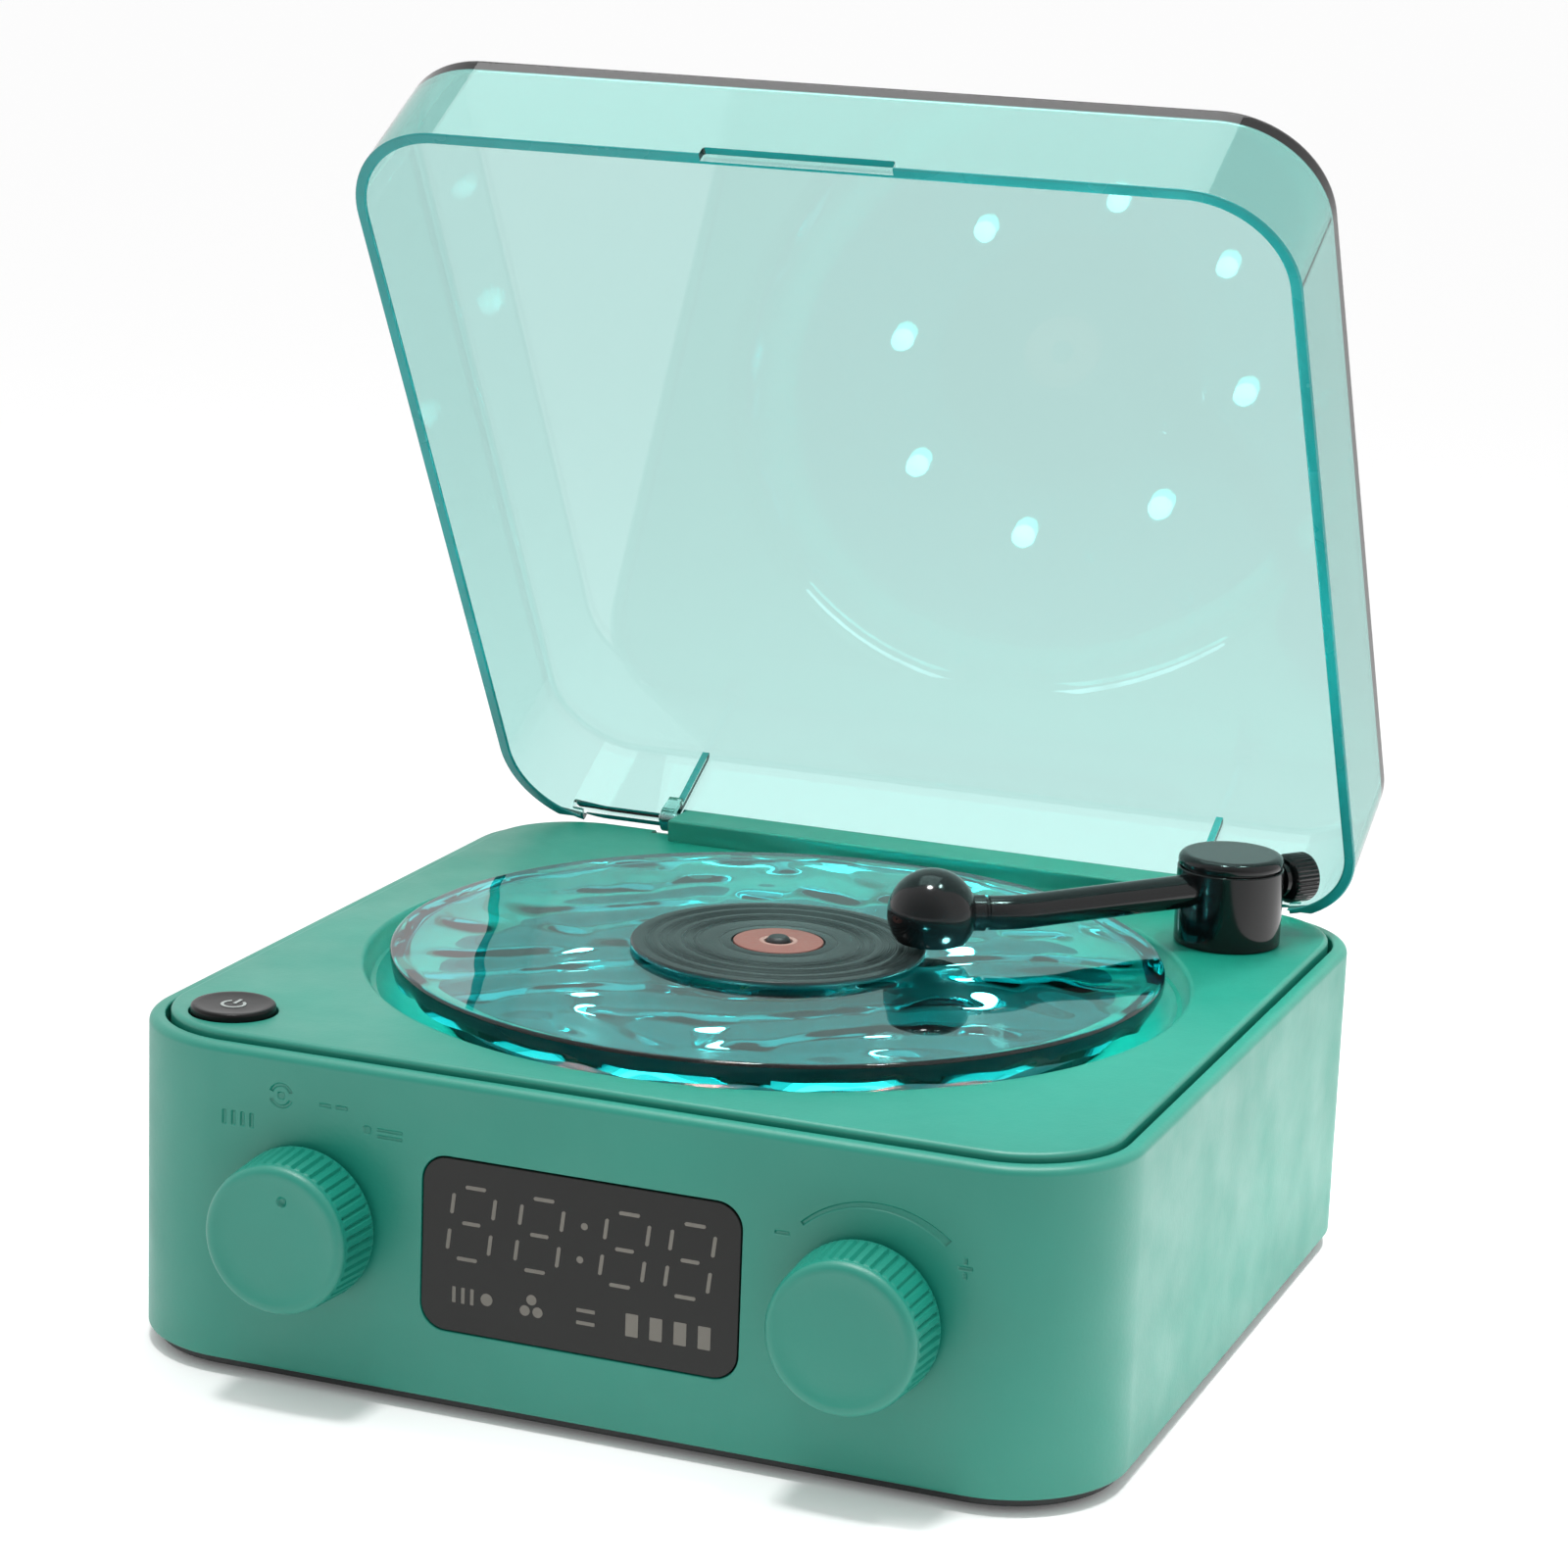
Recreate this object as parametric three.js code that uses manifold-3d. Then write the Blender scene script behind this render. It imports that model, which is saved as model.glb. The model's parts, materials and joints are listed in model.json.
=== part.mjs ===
// A small desktop speaker and night light in the shape of a suitcase record player.
// Millimetres, +Z up, front towards -Y. The feet stand on Z = 0.
// Most sizes are written in the cabinet's own coordinates: centre of the cabinet in X and Y,
// Z = 0 at the lower edge of the cabinet shell. The "cabinet" group moves them into the part's frame.
import * as THREE from 'three';
import { mergeVertices } from 'three/addons/utils/BufferGeometryUtils.js';
import Module from 'manifold-3d';

const wasm = await Module();
wasm.setup();

// ---------------------------------------------------------------- driving dimensions
const GAP = 0.3; // clearance between pieces that touch on the real object

// cabinet shell
const WIDTH = 140;
const DEPTH = 134;
const HEIGHT = 44;
const CORNER = 17;
const WALL = 2.2;
const STANDOFF = 2.2; // height of the shell's lower edge above the surface it stands on
const CABINET_Y = -1.73; // centres the open player, knobs to lid, on the origin

// deck, the raised panel with the turntable well
const DECK_TOP = HEIGHT + 1;
const DECK_THICK = 2.6;
const DECK_INSET = 2.9;
const LEDGE_WIDTH = 2.8;

// turntable
const AXIS_Y = 0.9;
const WELL_R = 58.2;
const WELL_FLOOR = 38.6;
const SKIN = 1.8;
const DISC_R = 54.8;
const DISC_TOP = 47.3;
const DISC_THICK = 3.5;
const RECORD_R = 20.8;
const RECORD_THICK = 1.0;
const LABEL_R = 6.4;
const SPINDLE_TIP_R = 1.7;
const SPINDLE_SHAFT_R = 1.5;

// night light under the disc
const LAMP_COUNT = 8;
const LAMP_RING = 30;
const LAMP_START_DEG = 4;
const LAMP_HALF = 2.1;

// drive
const GEAR_MODULE = 1;
const GEAR_TEETH = 36;
const PINION_TEETH = 12;
const GEAR_BOTTOM = 29.5;
const GEAR_THICK = 3;
const GEAR_DISTANCE = GEAR_MODULE * (GEAR_TEETH + PINION_TEETH) / 2 + 0.25;
const MOTOR_Y = AXIS_Y - GEAR_DISTANCE;
const MOTOR_R = 12;
const MOTOR_SHAFT_R = 1;

// lid, measured shut and then opened about the hinge
const LID_WIDTH = 138.6;
const LID_DEPTH = 133;
const LID_Y = -0.12;
const LID_RIM = HEIGHT + 0.31;
const LID_HEIGHT = 19.3;
const LID_WALL = 1.7;
const LID_CORNER = 15.1;
const LID_OPEN_DEG = 59.6;
const HINGE_Y = 64.55;
const HINGE_Z = 46.94;
const HINGE_PIN_R = 0.8;
const BAR_HALF = 41.2;
const BAR_FRONT = 58;
const BAR_BACK = 66.3;
const BAR_TOP = 48.4;
const EAR_IN = 42.2;
const EAR_OUT = 44.4;
const EAR_R = 2.1;
const REAR_CUT_Y = 64.2; // the rim is raised behind this line, to swing clear of the deck
const CORNER_RIM = HEIGHT + 1.4;
const REAR_RIM = 46.8; // rim between the rear corners
const REAR_RIM_HALF = 58;
const REAR_RIM_Y = 62;
const NOTCH_HALF = 14;

// tonearm
const POST_X = 53.6;
const POST_Y = 44.5;
const POST_R = 7.8;
const POST_TOP = 56.4;
const CAP_R = 7.7;
const CAP_TOP = 58.4;
const CAP_BEVEL = 0.9;
const ARM_Z = 53.4;
const ARM_R = 2.45;
const ARM_DEG = 232.2;
const ARM_STRAIGHT = 38;
const ARM_BEND_DEG = 209;
const HEAD_REACH = 11.7;
const HEAD_R = 6.4;
const HEAD_FLAT = 49.1;
const WEIGHT_R = 3.65;
const WEIGHT_END = 14.5;

// front controls
const KNOB_X = 39.4;
const KNOB_Z = 21.6;
const KNOB_R = 10.3;
const KNOB_FACE = 9.4;
const KNOB_FLUTES = 32;
const SHAFT_R = 2;
const WINDOW_W = 44.7;
const WINDOW_H = 23.7;
const WINDOW_Z = 21.7;
const WINDOW_CORNER = 3.5;

// power key
const KEY_X = -56.8;
const KEY_Y = -55;
const KEY_R = 5.75;
const KEY_TOP = DECK_TOP + 1;
const KEY_STEM_END = 38.5;

// rear
const GRILLE_W = 56;
const GRILLE_H = 24;
const GRILLE_Z = 19.5;
const SPEAKER_R = 16;
const USB_X = -47.5;
const USB_W = 8.9;
const USB_H = 3.2;
const USB_Z = 10.7;
const CARD_X = -36;
const CARD_W = 12;
const CARD_H = 1.8;
const CARD_Z = 10;

// underside
const BASE_INSET = 1.4;
const BASE_BOTTOM = -1.4;
const BASE_TOP = 1.5;
const BOSS_X = 59;
const BOSS_Y = 56;
const FOOT_X = 47;
const FOOT_Y = 44;
const FOOT_R = 6;

// ---------------------------------------------------------------- geometry helpers
const CORNER_STEPS = 6; // flats in each rounded corner of the cabinet and the lid
const WHEEL_SIDES = 48; // flats round the turntable's large circles
const rad = THREE.MathUtils.degToRad;

// A copy with shared vertices merged and triangles without area left out.
function weld(geometry) {
  const bare = geometry.clone();
  bare.deleteAttribute('uv');
  bare.deleteAttribute('normal');
  const welded = mergeVertices(bare, 1e-4);
  const index = welded.index.array;
  const kept = [];
  for (let i = 0; i < index.length; i += 3) {
    const [a, b, c] = [index[i], index[i + 1], index[i + 2]];
    if (a !== b && b !== c && c !== a) kept.push(a, b, c);
  }
  welded.setIndex(kept);
  return welded;
}

function solidOf(geometry) {
  const welded = weld(geometry);
  return new wasm.Manifold(new wasm.Mesh({
    numProp: 3,
    vertProperties: new Float32Array(welded.attributes.position.array),
    triVerts: new Uint32Array(welded.index.array),
  }));
}

function geometryOf(solid) {
  const { vertProperties, triVerts } = solid.getMesh();
  const geometry = new THREE.BufferGeometry();
  geometry.setAttribute('position', new THREE.BufferAttribute(new Float32Array(vertProperties), 3));
  geometry.setIndex(new THREE.BufferAttribute(new Uint32Array(triVerts), 1));
  return geometry;
}

function join(first, ...rest) {
  return geometryOf(rest.reduce((sum, piece) => sum.add(solidOf(piece)), solidOf(first)));
}

function cut(first, ...rest) {
  return geometryOf(rest.reduce((sum, piece) => sum.subtract(solidOf(piece)), solidOf(first)));
}

function block(x0, x1, y0, y1, z0, z1) {
  const geometry = new THREE.BoxGeometry(x1 - x0, y1 - y0, z1 - z0);
  return geometry.translate((x0 + x1) / 2, (y0 + y1) / 2, (z0 + z1) / 2);
}

// Upright cylinder at (x, y), from z0 to z1.
function rod(r, z0, z1, x = 0, y = 0, sides = 24) {
  const geometry = new THREE.CylinderGeometry(r, r, z1 - z0, sides);
  return geometry.rotateX(Math.PI / 2).translate(x, y, (z0 + z1) / 2);
}

// Cylinder along Y, from y0 to y1.
function rodY(r, y0, y1, x, z, sides = 24) {
  return new THREE.CylinderGeometry(r, r, y1 - y0, sides).translate(x, (y0 + y1) / 2, z);
}

// Cylinder along X, from x0 to x1.
function rodX(r, x0, x1, y, z, sides = 16) {
  const geometry = new THREE.CylinderGeometry(r, r, x1 - x0, sides);
  return geometry.rotateZ(Math.PI / 2).translate((x0 + x1) / 2, y, z);
}

// Solid of revolution about Z; the profile holds [radius, z] pairs.
function turned(profile, sides = 48) {
  const points = profile.map(([r, z]) => new THREE.Vector2(r, z));
  return new THREE.LatheGeometry(points, sides).rotateX(Math.PI / 2);
}

function roundedOutline(width, height, corner) {
  const [w, h] = [width / 2 - corner, height / 2 - corner];
  const outline = new THREE.Shape();
  outline.absarc(w, -h, corner, -Math.PI / 2, 0);
  outline.absarc(w, h, corner, 0, Math.PI / 2);
  outline.absarc(-w, h, corner, Math.PI / 2, Math.PI);
  outline.absarc(-w, -h, corner, Math.PI, Math.PI * 1.5);
  return outline;
}

// Upright prism of an outline, from z0 to z1.
function prism(outline, z0, z1, curveSegments = CORNER_STEPS) {
  const geometry = new THREE.ExtrudeGeometry(outline, { depth: z1 - z0, bevelEnabled: false, curveSegments });
  return geometry.translate(0, 0, z0);
}

// Prism of an outline drawn in X and Z, from y0 to y1.
function prismY(outline, y0, y1, x, z, curveSegments = 4) {
  return prism(outline, 0, y1 - y0, curveSegments).rotateX(Math.PI / 2).translate(x, y1, z);
}

// The cabinet's outline, inset by a distance.
function cabinetOutline(inset) {
  return roundedOutline(WIDTH - 2 * inset, DEPTH - 2 * inset, CORNER - inset);
}

// Closed outline through points given as [radius, angle] pairs.
function polarOutline(points) {
  return new THREE.Shape(points.map(([r, a]) => new THREE.Vector2(r * Math.cos(a), r * Math.sin(a))));
}

// Straight-flanked gear outline with one tooth on the direction "phase".
function gearOutline(teeth, phase) {
  const pitch = 2 * Math.PI / teeth;
  const root = GEAR_MODULE * (teeth / 2 - 1.2);
  const tip = GEAR_MODULE * (teeth / 2 + 0.85);
  const corners = [[root, -0.25], [tip, -0.1], [tip, 0.1], [root, 0.25]];
  const points = [];
  for (let i = 0; i < teeth; i++) {
    for (const [r, share] of corners) points.push([r, phase + pitch * (i + share)]);
  }
  return polarOutline(points);
}

// ---------------------------------------------------------------- scene graph helpers
const PLASTIC_GREEN = { color: 0x2f9a82, roughness: 0.45, metalness: 0 };
const PLASTIC_BLACK = { color: 0x141516, roughness: 0.55, metalness: 0 };
const GLOSS_BLACK = { color: 0x0c0d0e, roughness: 0.12, metalness: 0 };
const CLEAR_TEAL = { color: 0xa9d8cf, roughness: 0.05, metalness: 0, transparent: true, opacity: 0.4 };
const STEEL = { color: 0xb8babd, roughness: 0.3, metalness: 1 };
const BRASS = { color: 0xc2a35a, roughness: 0.35, metalness: 1 };
const RUBBER = { color: 0x1b1b1c, roughness: 0.9, metalness: 0 };
const BOARD_GREEN = { color: 0x1c5a38, roughness: 0.6, metalness: 0 };
const NYLON = { color: 0xe6e4dc, roughness: 0.5, metalness: 0 };

function add(group, name, geometry, look) {
  const mesh = new THREE.Mesh(weld(geometry), new THREE.MeshStandardMaterial(look));
  mesh.name = name;
  group.add(mesh);
  return mesh;
}

const player = new THREE.Group();
const cabinet = new THREE.Group();
cabinet.position.set(0, CABINET_Y, STANDOFF);
player.add(cabinet);

const corners = [
  ['front_left', -1, -1],
  ['front_right', 1, -1],
  ['rear_left', -1, 1],
  ['rear_right', 1, 1],
];

// ---------------------------------------------------------------- cabinet shell
function shellBoss(sx, sy) {
  const [x, y] = [sx * BOSS_X, sy * BOSS_Y];
  const top = 14;
  const bottom = BASE_TOP + GAP;
  const rib = block(Math.min(x, sx * 67.4), Math.max(x, sx * 67.4), y - 1, y + 1, bottom, top);
  return [rod(3.6, bottom, top, x, y, 12), rib];
}

function makeShell() {
  const ledgeTop = DECK_TOP - DECK_THICK - GAP;
  const ring = cut(prism(cabinetOutline(0), 0, HEIGHT), prism(cabinetOutline(WALL), -1, HEIGHT + 1));
  const ledge = cut(
    prism(cabinetOutline(WALL - 0.4), ledgeTop - 2, ledgeTop),
    prism(cabinetOutline(WALL + LEDGE_WIDTH), ledgeTop - 3, ledgeTop + 1),
  );
  const bosses = corners.flatMap(([, sx, sy]) => shellBoss(sx, sy));
  const pilots = corners.map(([, sx, sy]) => rod(1.3, 0, 12, sx * BOSS_X, sy * BOSS_Y, 10));
  const frontY = -DEPTH / 2;
  const rearY = DEPTH / 2;
  const window = roundedOutline(WINDOW_W + 0.6, WINDOW_H + 0.6, WINDOW_CORNER + 0.3);
  const grille = roundedOutline(GRILLE_W + 0.6, GRILLE_H + 0.6, 4.3);
  const usb = roundedOutline(USB_W + 0.8, USB_H + 0.8, USB_H / 2 + 0.4);
  const card = roundedOutline(CARD_W + 0.8, CARD_H + 0.8, 0.5);
  const shell = cut(
    join(ring, ledge, ...bosses),
    ...pilots,
    prismY(window, frontY - 1, frontY + 4, 0, WINDOW_Z),
    rodY(3.7, frontY - 1, frontY + 4, -KNOB_X, KNOB_Z),
    rodY(3.7, frontY - 1, frontY + 4, KNOB_X, KNOB_Z),
    prismY(grille, rearY - 4, rearY + 1, 0, GRILLE_Z),
    prismY(usb, rearY - 4, rearY + 1, USB_X, USB_Z),
    prismY(card, rearY - 4, rearY + 1, CARD_X, CARD_Z),
  );
  add(cabinet, 'body_shell', shell, PLASTIC_GREEN);
}

// ---------------------------------------------------------------- deck with the turntable well
function makeDeck() {
  const plateBottom = DECK_TOP - DECK_THICK;
  const plate = prism(cabinetOutline(DECK_INSET), plateBottom, DECK_TOP);
  const wellSpace = turned([
    [0, WELL_FLOOR],
    [50, WELL_FLOOR],
    [54.6, WELL_FLOOR + 1.2],
    [57, WELL_FLOOR + 3.4],
    [WELL_R, DECK_TOP - 0.6],
    [WELL_R + 0.6, DECK_TOP + 1],
    [0, DECK_TOP + 1],
  ], WHEEL_SIDES).translate(0, AXIS_Y, 0);
  const wellSkin = turned([
    [0, WELL_FLOOR - SKIN],
    [50.6, WELL_FLOOR - SKIN],
    [56, WELL_FLOOR],
    [WELL_R + 0.8, WELL_FLOOR + 3.2],
    [WELL_R + SKIN, DECK_TOP - 1],
    [0, DECK_TOP - 1],
  ], WHEEL_SIDES).translate(0, AXIS_Y, 0);
  const boardBosses = [[-48.2, -57.5], [-60.5, -47]].map(([x, y]) => rod(1.5, 35, plateBottom + 1, x, y, 12));
  const earNotches = [-1, 1].map((side) => {
    const edges = [side * (EAR_IN - 0.5), side * (EAR_OUT + 0.5)].sort((a, b) => a - b);
    return block(edges[0], edges[1], HINGE_Y - EAR_R - 0.8, DEPTH / 2, DECK_TOP - 0.9, DECK_TOP + 1);
  });
  const deck = cut(
    join(plate, wellSkin, ...boardBosses),
    wellSpace,
    rod(4.3, 30, 40, 0, AXIS_Y),
    rod(KEY_R + GAP, 40, 50, KEY_X, KEY_Y, 32),
    rod(3.7, 40, 50, POST_X, POST_Y),
    rod(1.9, 40, 50, -30, 61.5, 16),
    rod(1.9, 40, 50, 30, 61.5, 16),
    ...earNotches,
  );
  add(cabinet, 'top_deck', deck, PLASTIC_GREEN);
}

// ---------------------------------------------------------------- hinge bar, pins and lid
function makeHingeBar() {
  const profile = new THREE.Shape();
  profile.moveTo(BAR_FRONT, DECK_TOP + GAP);
  profile.lineTo(BAR_BACK - 0.8, DECK_TOP + GAP);
  profile.lineTo(BAR_BACK, DECK_TOP + 1.1);
  profile.lineTo(BAR_BACK, BAR_TOP - 0.9);
  profile.lineTo(BAR_BACK - 0.9, BAR_TOP);
  profile.lineTo(BAR_FRONT + 0.3, BAR_TOP);
  profile.lineTo(BAR_FRONT, BAR_TOP - 0.3);
  // drawn in (Y, Z) and extruded along X
  const length = 2 * BAR_HALF;
  const bar = prism(profile, 0, length).rotateZ(Math.PI / 2).rotateY(Math.PI / 2).translate(-BAR_HALF, 0, 0);
  const pegs = [-30, 30].map((x) => rod(1.6, DECK_TOP - DECK_THICK + 0.2, DECK_TOP + 1, x, 61.5, 16));
  const bore = HINGE_PIN_R + 0.15;
  const solid = cut(
    join(bar, ...pegs),
    rodX(bore, -BAR_HALF - 1, -34, HINGE_Y, HINGE_Z),
    rodX(bore, 34, BAR_HALF + 1, HINGE_Y, HINGE_Z),
  );
  add(cabinet, 'hinge_bar', solid, PLASTIC_GREEN);
  for (const [name, side] of [['hinge_pin_left', -1], ['hinge_pin_right', 1]]) {
    const ends = [side * 34.3, side * (EAR_OUT + 0.7)].sort((a, b) => a - b);
    add(cabinet, name, rodX(HINGE_PIN_R, ends[0], ends[1], HINGE_Y, HINGE_Z), STEEL);
  }
}

function lidEar(side) {
  const [x0, x1] = [side * EAR_IN, side * EAR_OUT].sort((a, b) => a - b);
  const top = LID_RIM + LID_HEIGHT - 1;
  return [
    rodX(EAR_R, x0, x1, HINGE_Y, HINGE_Z, 24),
    block(x0, x1, HINGE_Y - EAR_R, LID_Y + LID_DEPTH / 2 - 0.5, HINGE_Z, top),
  ];
}

function makeLid() {
  const top = LID_RIM + LID_HEIGHT;
  const innerWidth = LID_WIDTH - 2 * LID_WALL;
  const innerDepth = LID_DEPTH - 2 * LID_WALL;
  const outer = prism(roundedOutline(LID_WIDTH, LID_DEPTH, LID_CORNER), LID_RIM, top);
  const inner = prism(roundedOutline(innerWidth, innerDepth, LID_CORNER - LID_WALL), 0, top - LID_WALL);
  const bowl = cut(outer, inner).translate(0, LID_Y, 0);
  const frontY = LID_Y - LID_DEPTH / 2;
  // opening in the rear wall, below the height "rim" and behind the line "startY"
  const rearCut = (halfWidth, startY, rim) => block(-halfWidth, halfWidth, startY, DEPTH, 40, rim);
  const solid = cut(
    join(
      cut(
        bowl,
        rearCut(WIDTH, REAR_CUT_Y, CORNER_RIM),
        rearCut(REAR_RIM_HALF, REAR_RIM_Y, REAR_RIM),
        rearCut(BAR_HALF + 0.8, REAR_RIM_Y, BAR_TOP + 1),
      ),
      ...lidEar(-1),
      ...lidEar(1),
    ),
    // thumb notch in the outer half of the front rim
    block(-NOTCH_HALF, NOTCH_HALF, frontY - 1, frontY + 1.1, LID_RIM - 1, LID_RIM + 1.7),
    rodX(HINGE_PIN_R + 0.15, -60, 60, HINGE_Y, HINGE_Z),
  );
  // the lid swings in a group that turns about the hinge line
  const swing = new THREE.Group();
  swing.position.set(0, HINGE_Y, HINGE_Z);
  swing.rotation.x = -rad(LID_OPEN_DEG);
  cabinet.add(swing);
  add(swing, 'lid', solid.translate(0, -HINGE_Y, -HINGE_Z), CLEAR_TEAL);
}

// ---------------------------------------------------------------- turntable and night light
function makeTurntable() {
  const table = new THREE.Group();
  table.position.set(0, AXIS_Y, 0);
  cabinet.add(table);

  const discBottom = DISC_TOP - DISC_THICK;
  const hole = SPINDLE_TIP_R + 0.8;
  add(table, 'ripple_disc', turned([
    [hole, discBottom],
    [DISC_R - 1.2, discBottom],
    [DISC_R, discBottom + 1],
    [DISC_R, DISC_TOP - 0.5],
    [DISC_R - 0.5, DISC_TOP],
    [hole, DISC_TOP],
    [hole, discBottom],
  ], WHEEL_SIDES), { color: 0x1d7f95, roughness: 0.05, metalness: 0, transparent: true, opacity: 0.6 });

  const recordBottom = DISC_TOP + 0.2;
  const recordTop = recordBottom + RECORD_THICK;
  add(table, 'mini_record', turned([
    [SPINDLE_TIP_R + GAP, recordBottom],
    [RECORD_R, recordBottom],
    [RECORD_R, recordTop],
    [LABEL_R + 0.2, recordTop],
    [LABEL_R + 0.2, recordTop - 0.5],
    [SPINDLE_TIP_R + GAP, recordTop - 0.5],
    [SPINDLE_TIP_R + GAP, recordBottom],
  ], 40), PLASTIC_BLACK);
  add(table, 'record_label', turned([
    [SPINDLE_TIP_R + GAP, recordTop - 0.4],
    [LABEL_R, recordTop - 0.4],
    [LABEL_R, recordTop + 0.1],
    [SPINDLE_TIP_R + GAP, recordTop + 0.1],
    [SPINDLE_TIP_R + GAP, recordTop - 0.4],
  ], 28), { color: 0xc8685c, roughness: 0.6, metalness: 0 });

  const hubTop = discBottom - GAP;
  const shaftEnd = GEAR_BOTTOM - 1;
  add(table, 'spindle', turned([
    [0, shaftEnd],
    [SPINDLE_SHAFT_R, shaftEnd],
    [SPINDLE_SHAFT_R, hubTop - 2.2],
    [9, hubTop - 2.2],
    [9, hubTop],
    [SPINDLE_TIP_R, hubTop],
    [SPINDLE_TIP_R, recordTop + 0.4],
    [SPINDLE_TIP_R - 0.5, recordTop + 0.8],
    [0, recordTop + 0.8],
  ], 24), PLASTIC_BLACK);

  const gear = prism(gearOutline(GEAR_TEETH, -Math.PI / 2), GEAR_BOTTOM, GEAR_BOTTOM + GEAR_THICK);
  add(table, 'platter_gear', cut(gear, rod(SPINDLE_SHAFT_R + GAP, 20, 40, 0, 0, 16)), NYLON);

  const bushTop = WELL_FLOOR + GAP + 1;
  add(table, 'spindle_bush', turned([
    [SPINDLE_SHAFT_R + GAP, 34],
    [4, 34],
    [4, WELL_FLOOR + GAP],
    [6, WELL_FLOOR + GAP],
    [6, bushTop],
    [SPINDLE_SHAFT_R + GAP, bushTop],
    [SPINDLE_SHAFT_R + GAP, 34],
  ], 24), BRASS);
}

function makeLightBoard() {
  const bottom = WELL_FLOOR + 0.4;
  const top = bottom + 1.2;
  const ring = turned([[12, bottom], [48, bottom], [48, top], [12, top], [12, bottom]], 32);
  const lamps = [];
  for (let i = 0; i < LAMP_COUNT; i++) {
    const lamp = block(-LAMP_HALF, LAMP_HALF, -LAMP_HALF, LAMP_HALF, top - 0.4, top + 1);
    lamps.push(lamp.translate(LAMP_RING, 0, 0).rotateZ(rad(LAMP_START_DEG + 360 * i / LAMP_COUNT)));
  }
  const board = join(ring, ...lamps).translate(0, AXIS_Y, 0);
  add(cabinet, 'light_board', board, { color: 0x1f8a76, roughness: 0.5, metalness: 0 });
}

// ---------------------------------------------------------------- motor drive
function makeDrive() {
  const motor = new THREE.Group();
  motor.position.set(0, MOTOR_Y, 0);
  cabinet.add(motor);

  const bracketTop = GEAR_BOTTOM - 1.5;
  const bracketBottom = bracketTop - 1.4;
  const motorTop = bracketBottom - GAP;
  const can = turned([[0, 10.5], [MOTOR_R, 10.5], [MOTOR_R, motorTop], [0, motorTop]], 32);
  const bore = rod(MOTOR_SHAFT_R + GAP, 22, motorTop + 1, 0, 0, 16);
  add(motor, 'motor', cut(can, bore), STEEL);
  const shaftTop = GEAR_BOTTOM + GEAR_THICK + 0.6;
  add(motor, 'motor_shaft', rod(MOTOR_SHAFT_R, 22.3, shaftTop, 0, 0, 16), STEEL);
  const pinionOutline = gearOutline(PINION_TEETH, Math.PI / 2 + Math.PI / PINION_TEETH);
  const pinion = prism(pinionOutline, GEAR_BOTTOM + 0.1, GEAR_BOTTOM + GEAR_THICK - 0.1);
  add(motor, 'motor_pinion', cut(pinion, rod(MOTOR_SHAFT_R + GAP, 20, 40, 0, 0, 16)), BRASS);

  const underFloor = WELL_FLOOR - SKIN - GAP;
  const legs = [-1, 1].map((side) => {
    const [x0, x1] = [side * 24, side * 27].sort((a, b) => a - b);
    return block(x0, x1, -34, -10, bracketBottom, underFloor);
  });
  const bracket = cut(
    join(block(-27, 27, -37, -8, bracketBottom, bracketTop), ...legs),
    rod(4, 20, 30, 0, MOTOR_Y),
  );
  add(cabinet, 'motor_bracket', bracket, STEEL);
}

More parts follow.
